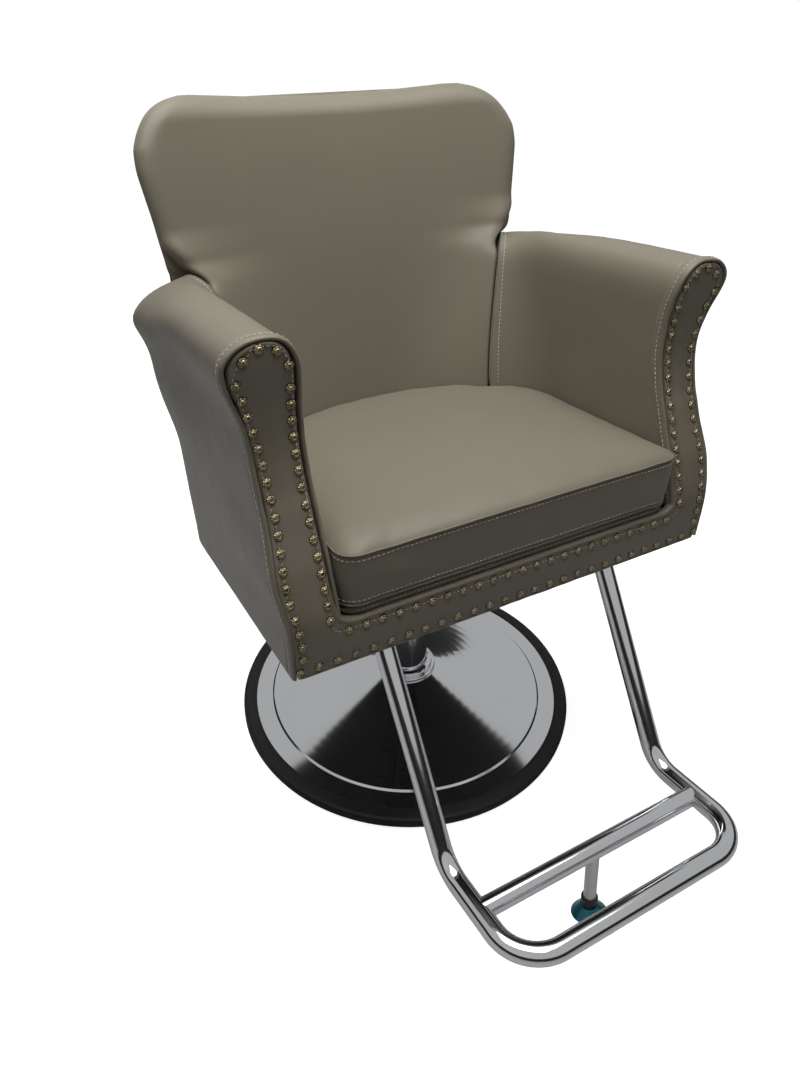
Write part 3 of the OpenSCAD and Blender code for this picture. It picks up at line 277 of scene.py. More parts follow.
def addStitches(name, rows, pitch=0.0062, length=0.0047, radius=0.00066, lift=0.0002):
    # One small bead per stitch, along runs of (point, outward normal) pairs
    bm = bmesh.new()
    size = Matrix.Diagonal((length / 2, radius, radius * 0.8, 1))
    pole = Matrix.Rotation(math.pi / 2, 4, "Y")
    for row, closed in rows:
        k = 0
        for centre, along in spaced([point for point, _ in row], pitch, closed):
            while k < len(row) - 1 and (row[k + 1][0] - centre).length < (row[k][0] - centre).length:
                k += 1
            across = along.cross(row[k][1]).normalized()
            up = across.cross(along).normalized()
            turned = Matrix((along, across, up)).transposed().to_4x4()
            shape = bmesh.ops.create_uvsphere(bm, u_segments=6, v_segments=4, radius=1)["verts"]
            bmesh.ops.transform(bm, verts=shape, matrix=Matrix.Translation(centre + up * lift) @ turned @ size @ pole)
    addPiece(finish(bm, name, thread))


def snapTo(tree, point, lift=0.0):
    spot, normal, _, _ = tree.find_nearest(point)
    return spot + normal * lift, normal


def treeOf(obj):
    return BVHTree.FromObject(obj, bpy.context.evaluated_depsgraph_get())


def softNoise(p, scale, seed=0.0):
    return noise.noise(Vector(p) * scale + Vector((seed, seed * 0.7, -seed)))


# Shader helpers

def feed(node, values):
    # Each input is set to its value, or linked where the value is another node's output
    for key, value in values.items():
        if isinstance(value, bpy.types.NodeSocket):
            node.id_data.links.new(value, node.inputs[key])
        else:
            node.inputs[key].default_value = value


def addNode(tree, kind, values=None, **settings):
    node = tree.nodes.new("ShaderNode" + kind)
    for key, value in settings.items():
        setattr(node, key, value)
    feed(node, values or {})
    return node


def mathNode(operation, *values, held=False):
    tree = next(value for value in values if isinstance(value, bpy.types.NodeSocket)).id_data
    return addNode(tree, "Math", dict(enumerate(values)), operation=operation, use_clamp=held).outputs[0]


def plus(a, b):
    return mathNode("ADD", a, b)


def minus(a, b, held=False):
    return mathNode("SUBTRACT", a, b, held=held)


def times(a, b, held=False):
    return mathNode("MULTIPLY", a, b, held=held)


def objectCoords(tree):
    return addNode(tree, "TexCoord").outputs["Object"]


def noiseNode(vector, scale, detail=3.0):
    return addNode(vector.id_data, "TexNoise", {
        "Vector": vector, "Scale": scale, "Detail": detail, "Roughness": 0.5}).outputs["Fac"]


def bumpNode(height, strength, distance):
    return addNode(height.id_data, "Bump", {
        "Height": height, "Strength": strength, "Distance": distance}).outputs["Normal"]


def rampNode(factor, low, high, lowAt=0.0, highAt=1.0):
    node = addNode(factor.id_data, "ValToRGB", {"Fac": factor})
    for stop, color, place in zip(node.color_ramp.elements, (low, high), (lowAt, highAt)):
        stop.position = place
        stop.color = (*color, 1)
    return node.outputs["Color"]


def scaledColor(color, level):
    return addNode(color.id_data, "VectorMath", {0: color, "Scale": level}, operation="SCALE").outputs["Vector"]


def newMaterial(name):
    mat = bpy.data.materials.new(name)
    mat.use_nodes = True
    return mat, mat.node_tree, mat.node_tree.nodes["Principled BSDF"]


# Camera, floor and light

view = {
    "position": (-0.5409, -0.9197, 1.1159), "azimuth": -29.55, "pitch": 35.25, "roll": 1.30,
    "focalShare": 800 / 1067, "floorColor": (0.7, 0.7, 0.7), "floorGlow": 0.88,
    "floorSize": 14, "floorDrop": 0.0005, "worldDiffuse": 0.06, "worldGlossy": 0.52,
    "whiteFrom": 0.9, "whiteAt": 2.2, "wallRadius": 3.4, "wallHeight": 1.2,
}
lamps = {
    "top_light": {"place": (-0.12, -0.06, 2.0), "target": (-0.05, 0, 0.5), "size": 1.5, "power": 33, "inMetal": True},
    "side_light": {"place": (-1.9, -1.2, 1.7), "target": (0, 0, 0.5), "size": 1.6, "power": 0.3, "inMetal": True},
    "rear_light": {"place": (0.1, 1.5, 2.1), "target": (0, 0, 0.6), "size": 0.5, "power": 8, "inMetal": False},
}


def addCamera():
    cam = bpy.data.cameras.new("camera")
    cam.sensor_fit = "VERTICAL"
    cam.sensor_height = 36
    cam.lens = 36 * view["focalShare"]
    cam.clip_end = 60
    obj = newObject("camera", cam)
    turn = Matrix.Rotation(math.radians(view["azimuth"]), 4, "Z")
    tilt = Matrix.Rotation(math.radians(90 - view["pitch"]), 4, "X")
    roll = Matrix.Rotation(math.radians(view["roll"]), 4, "Z")
    obj.matrix_world = Matrix.Translation(view["position"]) @ turn @ tilt @ roll
    bpy.context.scene.camera = obj


def addArea(name, values):
    lamp = bpy.data.lights.new(name, "AREA")
    lamp.shape = "RECTANGLE"
    lamp.size = lamp.size_y = values["size"]
    lamp.energy = values["power"]
    obj = newObject(name, lamp)
    obj.location = values["place"]
    obj.rotation_euler = (Vector(values["target"]) - Vector(values["place"])).to_track_quat("-Z", "Y").to_euler()
    obj.visible_glossy = values["inMetal"]


def addStudio():
    scene = bpy.context.scene
    scene.view_settings.view_transform = "Standard"
    scene.world = bpy.data.worlds.new("studio")
    scene.world.use_nodes = True
    tree = scene.world.node_tree
    path = addNode(tree, "LightPath").outputs
    unseen = addNode(tree, "MapRange", {
        "Value": path["Is Glossy Ray"], "To Min": view["worldDiffuse"], "To Max": view["worldGlossy"]})
    level = addNode(tree, "MapRange", {
        "Value": path["Is Camera Ray"], "To Min": unseen.outputs["Result"], "To Max": 1.0})
    feed(tree.nodes["Background"], {"Color": (1, 1, 1, 1), "Strength": level.outputs["Result"]})
    for name, values in lamps.items():
        addArea(name, values)


def addFloor():
    bm = bmesh.new()
    bmesh.ops.create_grid(bm, x_segments=1, y_segments=1, size=view["floorSize"])
    mat, tree, shader = newMaterial("studio_floor")
    away = addNode(tree, "VectorMath", {0: objectCoords(tree)}, operation="LENGTH")
    level = addNode(tree, "MapRange", {
        "Value": away.outputs["Value"], "From Min": view["whiteFrom"], "From Max": view["whiteAt"],
        "To Min": view["floorGlow"], "To Max": 1.0})
    glow = times(addNode(tree, "LightPath").outputs["Is Camera Ray"], level.outputs["Result"])
    feed(shader, {"Base Color": (*view["floorColor"], 1), "Roughness": 0.9, "Specular IOR Level": 0.0,
                  "Emission Color": (1, 1, 1, 1), "Emission Strength": glow})
    floor = finish(bm, "studio_floor", mat, False)
    floor.location.z = -view["floorDrop"]


def addDarkWall():
    # Dark band round the room, seen only in the polished metal
    mat, _, shader = newMaterial("studio_wall")
    feed(shader, {"Base Color": (0.01, 0.01, 0.01, 1)})
    bm = bmesh.new()
    bmesh.ops.create_cone(bm, cap_ends=False, segments=64, radius1=view["wallRadius"], radius2=view["wallRadius"],
                          depth=view["wallHeight"])
    bmesh.ops.translate(bm, verts=bm.verts[:], vec=(0, 0, view["wallHeight"] / 2))
    wall = finish(bm, "studio_wall", mat, False)
    wall.visible_camera = wall.visible_diffuse = wall.visible_shadow = False


addCamera()
addStudio()
addFloor()
addDarkWall()
print("camera, floor and light set")


# Materials

def surfaceGroup(name, *controls):
    # Node group from a colour and its controls to colour, roughness and normal
    group = bpy.data.node_groups.new(name, "ShaderNodeTree")
    sockets = [("INPUT", "Color", "Color")] + [("INPUT", label, "Float") for label in controls]
    sockets += [("OUTPUT", "Color", "Color"), ("OUTPUT", "Roughness", "Float"), ("OUTPUT", "Normal", "Vector")]
    for way, label, kind in sockets:
        group.interface.new_socket(name=label, in_out=way, socket_type="NodeSocket" + kind)
    return group, group.nodes.new("NodeGroupInput").outputs, group.nodes.new("NodeGroupOutput")


def buildHideGrain():
    # Pebbled grain of a coated hide, with slow changes of shade and gloss
    group, given, end = surfaceGroup("hide_grain", "Grain Scale", "Depth", "Shade Change", "Gloss")
    coords = objectCoords(group)
    cells = addNode(group, "TexVoronoi", {"Vector": coords, "Scale": given["Grain Scale"]},
                    feature="DISTANCE_TO_EDGE")
    pebble = times(cells.outputs["Distance"], 2.2, True)
    fine = noiseNode(coords, times(given["Grain Scale"], 1.9), 2.0)
    patches = minus(noiseNode(coords, 46.0), 0.5)
    shade = plus(minus(noiseNode(coords, 5.5), 0.5), times(patches, 0.35))
    feed(end, {
        "Normal": bumpNode(plus(pebble, times(fine, 0.6)), given["Depth"], 0.0004),
        "Color": scaledColor(given["Color"], plus(times(shade, given["Shade Change"]), 1.0)),
        "Roughness": plus(given["Gloss"], times(patches, 0.16)),
    })
    return group


def buildHandledMetal():
    # Faint smears and fine scratches that break up a polished surface
    group, given, end = surfaceGroup("handled_metal", "Roughness", "Smear", "Scratch")
    coords = objectCoords(group)
    smear = noiseNode(coords, 14.0, 4.0)
    feed(end, {
        "Normal": bumpNode(noiseNode(coords, 900.0, 2.0), given["Scratch"], 0.0001),
        "Color": scaledColor(given["Color"], plus(times(smear, 0.06), 0.97)),
        "Roughness": plus(given["Roughness"], times(smear, given["Smear"])),
    })
    return group


hideGrain = buildHideGrain()
handledMetal = buildHandledMetal()


def groupMaterial(name, group, color, controls, surface):
    # Material whose colour, roughness and normal come from one group
    mat, tree, shader = newMaterial(name)
    made = addNode(tree, "Group", {"Color": (*color, 1), **controls}, node_tree=group).outputs
    feed(shader, {"Base Color": made["Color"], "Roughness": made["Roughness"], "Normal": made["Normal"], **surface})
    return mat


def hideMaterial(name, color, grain=620.0, depth=0.12, shade=0.1, gloss=0.42, sheen=0.08):
    return groupMaterial(
        name, hideGrain, color, {"Grain Scale": grain, "Depth": depth, "Shade Change": shade, "Gloss": gloss},
        {"Specular IOR Level": 0.32, "Sheen Weight": sheen, "Sheen Roughness": 0.5})


def metalMaterial(name, color, rough, smear=0.04, scratch=0.02, metallic=1.0):
    return groupMaterial(name, handledMetal, color, {"Roughness": rough, "Smear": smear, "Scratch": scratch},
                         {"Metallic": metallic})


def timberMaterial():
    mat, tree, shader = newMaterial("sawn_timber")
    wave = addNode(tree, "TexWave", {"Vector": objectCoords(tree), "Scale": 46, "Distortion": 5, "Detail": 3},
                   bands_direction="Z")
    feed(shader, {"Base Color": rampNode(wave.outputs["Fac"], (0.46, 0.31, 0.17), (0.62, 0.46, 0.29)),
                  "Roughness": 0.72})
    return mat


def clothMaterial():
    mat, tree, shader = newMaterial("black_lining")
    weave = noiseNode(objectCoords(tree), 1400.0, 1.0)
    feed(shader, {"Base Color": rampNode(weave, (0.012, 0.012, 0.013), (0.03, 0.03, 0.032)),
                  "Normal": bumpNode(weave, 0.3, 0.0003), "Roughness": 0.9})
    return mat


nailRelief = {"petals": 10, "ringAt": 0.62, "ringSlope": 4.5, "beadAt": 0.30, "beadSlope": 9.0,
              "strength": 0.9, "depth": 0.0007}


def nailMaterial():
    # Domed nail with a stamped ring of petals, bright where it is rubbed
    mat, tree, shader = newMaterial("antique_nail")
    dome = addNode(tree, "UVMap", uv_map="dome").outputs["UV"]
    place = addNode(tree, "SeparateXYZ", {0: dome}).outputs

    def ridge(at, slope):
        return minus(1.0, times(mathNode("ABSOLUTE", minus(place["Y"], at)), slope), True)
    around = times(place["X"], 2 * math.pi * nailRelief["petals"])
    petals = plus(times(mathNode("COSINE", around), 0.5), 0.5)
    ring = ridge(nailRelief["ringAt"], nailRelief["ringSlope"])
    height = plus(times(petals, ring), ridge(nailRelief["beadAt"], nailRelief["beadSlope"]))
    patina = noiseNode(objectCoords(tree), 220.0)
    rub = times(plus(times(height, 0.55), patina), 0.75, True)
    feed(shader, {
        "Base Color": rampNode(rub, (0.06, 0.048, 0.03), (0.64, 0.53, 0.33), 0.25, 0.85),
        "Normal": bumpNode(height, nailRelief["strength"], nailRelief["depth"]),
        "Roughness": minus(0.46, times(rub, 0.2)), "Metallic": 1.0,
    })
    return mat


def threadMaterial():
    mat, tree, shader = newMaterial("light_thread")
    twist = noiseNode(objectCoords(tree), 2600.0, 1.0)
    feed(shader, {"Base Color": rampNode(twist, (0.42, 0.38, 0.31), (0.74, 0.69, 0.58)), "Roughness": 0.7})
    return mat


leather = hideMaterial("taupe_leatherette", (0.176, 0.158, 0.116))
chrome = metalMaterial("polished_chrome", (0.68, 0.69, 0.71), 0.085)
satinSteel = metalMaterial("satin_steel", (0.6, 0.59, 0.57), 0.3, 0.1, 0.08)
groundSteel = metalMaterial("cylinder_steel", (0.4, 0.4, 0.42), 0.28, 0.1, 0.08)
bronze = metalMaterial("bronze_bush", (0.55, 0.36, 0.16), 0.3, 0.12, 0.05)
blackSteel = metalMaterial("black_steel", (0.03, 0.03, 0.032), 0.42, 0.12, 0.06, 0.0)
rubber = hideMaterial("black_rubber", (0.012, 0.012, 0.013), 900, 0.08, 0.2, 0.5, 0.0)
blackPlastic = hideMaterial("black_plastic", (0.022, 0.022, 0.024), 1100, 0.06, 0.15, 0.36, 0.0)
teal = metalMaterial("teal_plastic", (0.02, 0.16, 0.20), 0.16, 0.1, 0.02, 0.55)
timber = timberMaterial()
lining = clothMaterial()
nailMetal = nailMaterial()
thread = threadMaterial()

slotMaterials = {
    "polished_chrome": chrome, "satin_steel": satinSteel, "black_rubber": rubber, "black_steel": blackSteel,
    "cylinder_steel": groundSteel, "bronze_bush": bronze, "timber": timber, "black_cloth": lining,
    "taupe_leatherette": leather, "antique_brass": nailMetal, "black_plastic": blackPlastic,
    "teal_plastic": teal,
}
for part in frame["record"]["subparts"]:
    obj = frame["nodes"][part["node"]]
    obj.data.materials.clear()
    obj.data.materials.append(slotMaterials[part["material_slot"]])
print("materials placed on the frame")


def addPiece(obj, replaced=()):
    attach(obj, "seat")
    if replaced:
        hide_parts(*replaced)
    return obj


# Seat cushion

cushion = {
    "halfWidth": 254.6, "bottom": 77.4, "lowSeam": 81, "topSeam": 151, "crown": 167.5,
    "frontLow": -6, "frontHigh": -13, "cornerRadius": 26, "gap": 2.4, "centreY": 215,
    "lowestPlan": 80, "welt": 0.0013, "stitchBelowTop": 6.5, "stitchAboveBottom": 9.5,
    "aroundSteps": 260, "voxel": 0.005, "pressure": 4.0, "maxMove": 0.004, "frames": 20,
}


def seatOutline(z, front, grow=0.0):
    # Closed plan of the cushion at height z, from the middle of the front edge and round
    k = (cushion["halfWidth"] + grow) / tub["armInside"]
    r = cushion["cornerRadius"]
    flat = cushion["halfWidth"] + grow - r
    half = [Vector((flat * i / 8, front)) for i in range(8)]
    for i in range(9):
        a = math.pi / 2 * i / 8
        half.append(Vector((flat + r * math.sin(a), front + r - r * math.cos(a))))
    for i in range(1, 25):
        p = innerWall(z, 0.3 + 0.7 * i / 24)
        half.append(Vector((p.x * k, p.y - cushion["gap"])))
    for i in range(1, 17):
        u = 1 - i / 16
        x = seamX(z) * k * u
        half.append(Vector((x, backFaceY(x, z) - cushion["gap"])))
    return half + [Vector((-p.x, p.y)) for p in reversed(half[1:-1])]


def evenLoop(points, count):
    run = points + [points[0]]
    total = polylineLength(run)
    return [point for point, _ in walked(run, [total * k / count for k in range(count)])]


def cushionRing(z, grow=0.0):
    share = clamp((z - cushion["lowSeam"]) / (cushion["topSeam"] - cushion["lowSeam"]))
    front = mixed(cushion["frontLow"], cushion["frontHigh"], share)
    key = (round(z, 2), round(grow, 2))
    if key not in cushionRing.kept:
        cushionRing.kept[key] = evenLoop(
            seatOutline(max(z, cushion["lowestPlan"]), front - grow, grow), cushion["aroundSteps"])
    return cushionRing.kept[key]


cushionRing.kept = {}


def cushionSection():
    # From the middle of the underside, out, up the border and in over the crown: share, height, outset
    low, seam = cushion["bottom"], cushion["topSeam"]
    rows = [(0.0, low, 0), (0.5, low, 0), (0.9, low, 0), (0.965, low, -1), (0.985, low + 0.8, -0.6), (1, low + 2.6, 0)]
    for i in range(1, 13):
        u = i / 12
        rows.append((1, mixed(low + 2.6, seam, u), 1.6 * math.sin(math.pi * u)))
    rows.append((0.996, seam + 1.4, 0))
    for i in range(1, 25):
        s = 1 - i / 24
        edge = 0.985 * s ** 0.85
        lift = (1 - edge ** 5) ** 0.62 * 0.72 + (1 - edge ** 2) * 0.28
        rows.append((edge, mixed(seam + 1.4, cushion["crown"], lift), 0))
    return rows


def addCushion():
    rows = cushionSection()
    steps = cushion["aroundSteps"]

    def place(u, v):
        share, z, out = rows[round(v * (len(rows) - 1))]
        p = cushionRing(clamp(z, cushion["lowSeam"], cushion["topSeam"]), out)[round(u * steps) % steps]
        return raked(p.x * share, cushion["centreY"] + (p.y - cushion["centreY"]) * share, z)
    return skinObject("seat_cushion_cover", leather, steps, len(rows) - 1, place)


def plump(obj, settings):
    # Cloth under light pressure gives the panel its stretched, slightly uneven skin
    scene = bpy.context.scene
    rest = [v.co.copy() for v in obj.data.vertices]
    remesh = obj.modifiers.new("voxels", "REMESH")
    remesh.mode = "VOXEL"
    remesh.voxel_size = settings["voxel"]
    depsgraph = bpy.context.evaluated_depsgraph_get()
    copyMesh = bpy.data.meshes.new_from_object(obj.evaluated_get(depsgraph))
    obj.modifiers.clear()
    worker = newObject("cloth_worker", copyMesh)
    before = [v.co.copy() for v in copyMesh.vertices]
    cloth = worker.modifiers.new("cloth", "CLOTH")
    cloth.settings.use_pressure = True
    cloth.settings.uniform_pressure_force = settings["pressure"]
    cloth.settings.effector_weights.gravity = 0
    cloth.settings.quality = 5
    cloth.point_cache.frame_start = 1
    cloth.point_cache.frame_end = settings["frames"]
    for step in range(1, settings["frames"] + 1):
        scene.frame_set(step)
    depsgraph = bpy.context.evaluated_depsgraph_get()
    moved = worker.evaluated_get(depsgraph).to_mesh()
    shifts = []
    for v, start in zip(moved.vertices, before):
        shift = v.co - start
        if shift.length > settings["maxMove"]:
            shift.length = settings["maxMove"]
        shifts.append(shift)
    average = sum((s.length for s in shifts)) / len(shifts)
    tree = KDTree(len(before))
    for i, p in enumerate(before):
        tree.insert(p, i)
    tree.balance()
    for v, start in zip(obj.data.vertices, rest):
        near = tree.find_n(start, 6)
        weight = [1 / (d + 0.001) for _, _, d in near]
        v.co = start + sum((shifts[i] * w for (_, i, _), w in zip(near, weight)), Vector()) / sum(weight)
    worker.evaluated_get(depsgraph).to_mesh_clear()
    bpy.data.objects.remove(worker)
    bpy.data.meshes.remove(copyMesh)
    scene.frame_set(1)
    print("cloth settled, mean move in mm:", round(average * 1000, 2))


cushionObj = addCushion()
plump(cushionObj, cushion)
addPiece(cushionObj, ["seat_cushion"])
cushionTree = treeOf(cushionObj)


def cushionRun(z, out, lift):
    ring = cushionRing(clamp(z, cushion["lowSeam"], cushion["topSeam"]), out)
    return [snapTo(cushionTree, raked(p.x, p.y, z), lift) for p in ring]


def addCushionTrim():
    bm = bmesh.new()
    for z in (cushion["topSeam"] + 0.6, cushion["bottom"] + 1.6):
        addPipe(bm, [point for point, _ in cushionRun(z, 0.2, 0.0003)], cushion["welt"], 8, True)
    addPiece(finish(bm, "seat_cushion_welt", leather))
    addStitches("seat_cushion_stitching", [(cushionRun(z, 0.6, 0.0002), True) for z in (
        cushion["topSeam"] - cushion["stitchBelowTop"], cushion["bottom"] + cushion["stitchAboveBottom"])])


addCushionTrim()
print("seat cushion made")


# Arms

arm = {"alongSteps": 90, "outsideFrom": 300, "bulgeFade": 0.55, "bulgeSlack": 1.5, "bulgeTop": 230,
       "waves": ((0.0005, 16, 3.0), (0.0003, 40, 8.0))}
# Cover section in the straight part: inside face, over the roll, down the outside: out, height
armSection = [(257, 66.4), (257, 120), (257, 200), (257, 280), (257, 330), (257.6, 350), (259.6, 365),
              (264.5, 377.5), (272, 387), (282, 392.8), (293, 395), (305, 395), (317, 392.4), (328, 386.6),
              (336, 378), (340.5, 368), (341, 356), (338.5, 345), (333.8, 332), (327.5, 315), (322.8, 297),
              (320.3, 275), (320, 240), (320, 160), (320, 80), (320, 0)]
# Hidden inner side of the cover, back to the start of the section
armInsideRun = [(314, 0), (313.6, 6), (313.6, 150), (313.6, 278), (306, 283), (299.8, 278), (299.8, 150), (299.8, 70),
                (298, 66.4), (270, 66.4)]


def splinePoints(points, count):
    # Even points on a smooth curve through the given ones
    dense = []
    n = len(points)
    for i in range(n - 1):
        p0, p1, p2, p3 = points[max(i - 1, 0)], points[i], points[i + 1], points[min(i + 2, n - 1)]
        for k in range(12):
            t = k / 12
            dense.append(tuple(0.5 * (2 * b + (c - a) * t + (2 * a - 5 * b + 4 * c - d) * t * t
                                      + (3 * b - a - 3 * c + d) * t ** 3)
                               for a, b, c, d in zip(p0, p1, p2, p3)))
    dense.append(points[-1])
    lengths = [0.0]
    for a, b in zip(dense, dense[1:]):
        lengths.append(lengths[-1] + math.dist(a, b))
    out, i = [], 0
    for k in range(count):
        target = lengths[-1] * k / (count - 1)
        while i < len(dense) - 2 and lengths[i + 1] < target:
            i += 1
        t = (target - lengths[i]) / max(lengths[i + 1] - lengths[i], 1e-9)
        out.append(tuple(mixed(a, b, t) for a, b in zip(dense[i], dense[i + 1])))
    return out


armOutside = splinePoints(armSection, 96)
armLoop = armOutside + armInsideRun


def armPoint(x, z, t, side):
    # The outer side bulges near the front like the edge of the front panel
    if x > arm["outsideFrom"]:
        bulge = outsideX(z) - tub["halfWidth"] if z < arm["bulgeTop"] else 0
        x += max(0, bulge - arm["bulgeSlack"]) * (1 - easeStep(t / arm["bulgeFade"]))
    px, py, pz = wallPoint(x, z, t)
    return raked(side * px, py, pz)


def addArm(side, name, nodes):
    count = len(armLoop)

    def place(u, v):
        x, z = armLoop[round(u * count) % count]
        p = armPoint(x, z, v, side)
        wave = sum(size * softNoise(p, scale, seed) for size, scale, seed in arm["waves"])
        return p + Vector((side * wave, 0, wave)) if v > 0.02 else p
    return addPiece(skinObject(name, leather, count, arm["alongSteps"], place), nodes)


leftArm = addArm(-1, "left_arm_cover", ["left_arm", "left_side_panel"])
rightArm = addArm(1, "right_arm_cover", ["right_arm", "right_side_panel"])


# Folded front edge of each arm cover: path from the seat up, over the roll and down to the foot, in the arm's section
# as far as the roll, and a section of distance out from the path and depth
lip = {
    "path": [(257, 67)] + armSection[1:14] + [
        (336, 379), (341, 369), (341.6, 358), (339, 345.5), (334, 331), (327.5, 312), (323, 296), (320.4, 270),
        (319.8, 240), (319.8, 215), (320.6, 185), (324.2, 150), (325.8, 125), (324, 100), (321, 76), (320, 40),
        (319.8, 4)],
    "section": [(-4, 28), (-1.2, 23.5), (0.4, 18.5), (1.3, 14), (1.6, 10), (1.4, 5.5), (0.8, 2.0), (-0.6, 0.0),
                (-2.3, -0.1), (-3.6, 1.9), (-4.1, 6), (-4.6, 12), (-6, 25)],
    "steps": 230, "pucker": 0.55, "puckerScale": 0.05, "puckerDepth": 8, "stitchDepth": 9.5, "stitchSteps": 200,
}


def lipRun(steps):
    # Points of the path with the outward direction at each
    points = splinePoints(lip["path"], steps + 1)
    run = []
    for i, (x, z) in enumerate(points):
        (ax, az), (bx, bz) = points[max(i - 1, 0)], points[min(i + 1, steps)]
        size = math.hypot(bx - ax, bz - az)
        run.append((x, z, -(bz - az) / size, (bx - ax) / size))
    return run


def addArmLip(side, name):
    run = lipRun(lip["steps"])
    section = lip["section"]
    count = len(section)

    def place(u, v):
        x, z, nx, nz = run[round(v * lip["steps"])]
        out, depth = section[round(u * count) % count]
        wave = lip["pucker"] * noise.noise(Vector((x, z, depth * 0.4 + side * 40)) * lip["puckerScale"]) \
            * (depth < lip["puckerDepth"])
        return raked(side * (x + nx * (out + wave)), frontDepth(z) + depth + wave, z + nz * (out + wave))
    return addPiece(skinObject(name, leather, count, lip["steps"], place))


def addArmStitching():
    rows = []
    for side, name in ((-1, "left_arm_front_fold"), (1, "right_arm_front_fold")):
        tree = treeOf(addArmLip(side, name))
        rows.append(([snapTo(tree, raked(side * (x + nx * 2), frontDepth(z) + lip["stitchDepth"], z + nz * 2), 0.0001)
                      for x, z, nx, nz in lipRun(lip["stitchSteps"])], False))
    addStitches("arm_edge_stitching", rows)


addArmStitching()
print("arms made")


# Front panel with its nails

panel = {
    "acrossSteps": 26, "columnSteps": 110, "railSteps": 150, "depth": 9.2, "edgeRadius": 5.5,
    "nailDip": 1.3, "nailReach": 8.5, "waver": 0.9, "puff": 1.6, "puffFrom": 13, "puffOver": 14,
    "beads": ((-1.3, 3.2, 1.9), (0.7, 7.2, 2.0)), "stitch": {"radius": 0.00048, "length": 0.0042},
}
nails = {
    "radius": 5.7, "height": 3.2, "bottomZ": 13, "bottomX": 312, "bottomCount": 27, "innerZ": 52.5,
    "innerX": 248, "innerCount": 23, "pitch": 18.7, "outerCount": 18, "innerRows": 15, "innerColumnX": 270,
    "outerInset": 13, "top": [(319, 374), (302, 384.5), (283.5, 379.5), (271.5, 362)],
    "sides": 14, "dome": [(1.0, -0.1), (1.0, 0.12), (0.93, 0.42), (0.76, 0.70), (0.52, 0.88), (0.26, 0.98), (0.0, 1.0)],
}
# Inner edge of one column and of the rail, from the top of the arm to the middle of the rail
panelInner = [(297, 392.5), (288.5, 391.3), (280.5, 387.5), (273.5, 380.5), (268.5, 371), (265.3, 359), (264, 345),
              (263.5, 300), (263.3, 240), (263, 180), (262.5, 130), (261.5, 100), (260, 88), (256, 75), (248, 68.2),
              (236, 66), (200, 66), (120, 66), (0, 66)]
panelOuter = [(297, 392.5), (307, 391.6), (316.5, 388.5), (325.5, 383), (332, 375.5), (335.5, 366.5), (335.6, 357),
              (332.5, 343), (327.5, 327), (321.8, 300), (317, 268), (315, 215), (317.5, 182), (322.5, 140), (323, 115),
              (319.5, 76), (318, 40), (317.6, 16), (316, 7), (311.5, 2), (303, 0.4), (200, 0), (0, 0)]


def nailSpots():
    spots = []
    for row in ("bottom", "inner"):
        half, count = nails[row + "X"], nails[row + "Count"]
        spots += [(mixed(-half, half, i / (count - 1)), nails[row + "Z"]) for i in range(count)]
    for side in (-1, 1):
        for i in range(1, nails["outerCount"] + 1):
            z = nails["bottomZ"] + i * nails["pitch"]
            spots.append((side * (outsideX(z) - nails["outerInset"]), z))
        for i in range(nails["innerRows"]):
            spots.append((side * nails["innerColumnX"], nails["innerZ"] + 12 + (i + 0.5) * nails["pitch"]))
        spots += [(side * x, z) for x, z in nails["top"]]
    return spots


spots = nailSpots()


def edgeGap(x, z, edges):
    best = 1e9
    for (ax, az), (bx, bz) in edges:
        dx, dz = bx - ax, bz - az
        t = clamp(((x - ax) * dx + (z - az) * dz) / max(dx * dx + dz * dz, 1e-9))
        best = min(best, math.hypot(x - ax - t * dx, z - az - t * dz))
    return best


def splitRun(points, steps):
    # Even points down the column and along the rail, so that both edges keep step
    columnEnd = next(i for i, p in enumerate(points) if p[1] <= 69)
    column = splinePoints(points[:columnEnd + 1], panel["columnSteps"] + 1)
    rail = splinePoints(points[columnEnd:], steps - panel["columnSteps"] + 1)
    return column + rail[1:]


def addFrontPanel():
    # Half of the U is swept from the arm top to the middle of the rail, and the other half mirrors it
    half = panel["columnSteps"] + panel["railSteps"] // 2
    inner = splitRun(panelInner, half)
    outer = splitRun(panelOuter, half)
    edges = list(zip(inner, inner[1:])) + list(zip(outer, outer[1:]))
    across = panel["acrossSteps"]
    radius, reach = panel["edgeRadius"], panel["nailReach"]
    kept = {}

    def frontPoint(i, k):
        if (i, k) in kept:
            return kept[i, k]
        w = 0.5 - 0.5 * math.cos(math.pi * k / across)
        x, z = mixed(inner[i][0], outer[i][0], w), mixed(inner[i][1], outer[i][1], w)
        gap = edgeGap(x, z, edges) if 0 < k < across else 0.0
        roll = radius - math.sqrt(max(0, radius ** 2 - max(0, radius - gap) ** 2))
        dip = sum(panel["nailDip"] * (1 - easeStep(math.hypot(x - sx, z - sz) / reach))
                  for sx, sz in spots if abs(sx - x) < reach and abs(sz - z) < reach)
        puff = -panel["puff"] * easeStep((gap - panel["puffFrom"]) / panel["puffOver"])
        wave = panel["waver"] * noise.noise(Vector((x, z, 0)) * 0.035) * (1 - easeStep(gap / 16)) \
            * (1 if gap > 0 else 0.6)
        fold = sum(size * math.exp(-((gap - at) / width) ** 2) for size, at, width in panel["beads"])
        kept[i, k] = (x, z, frontDepth(z) + roll + dip + puff + wave + fold * (gap > 0))
        return kept[i, k]

    sectionCount = 2 * across + 2
    total = 2 * half

    def place(u, v):
        j = round(v * total)
        side = -1 if j <= half else 1
        i = j if j <= half else total - j
        k = round(u * sectionCount) % sectionCount
        if k <= across:
            x, z, y = frontPoint(i, k)
        else:
            x, z, _ = frontPoint(i, sectionCount - 1 - k)
            y = frontDepth(z) + panel["depth"]
        return raked(side * x, y, z)
    return addPiece(skinObject("front_panel_cover", leather, sectionCount, total, place), ["front_panel"])


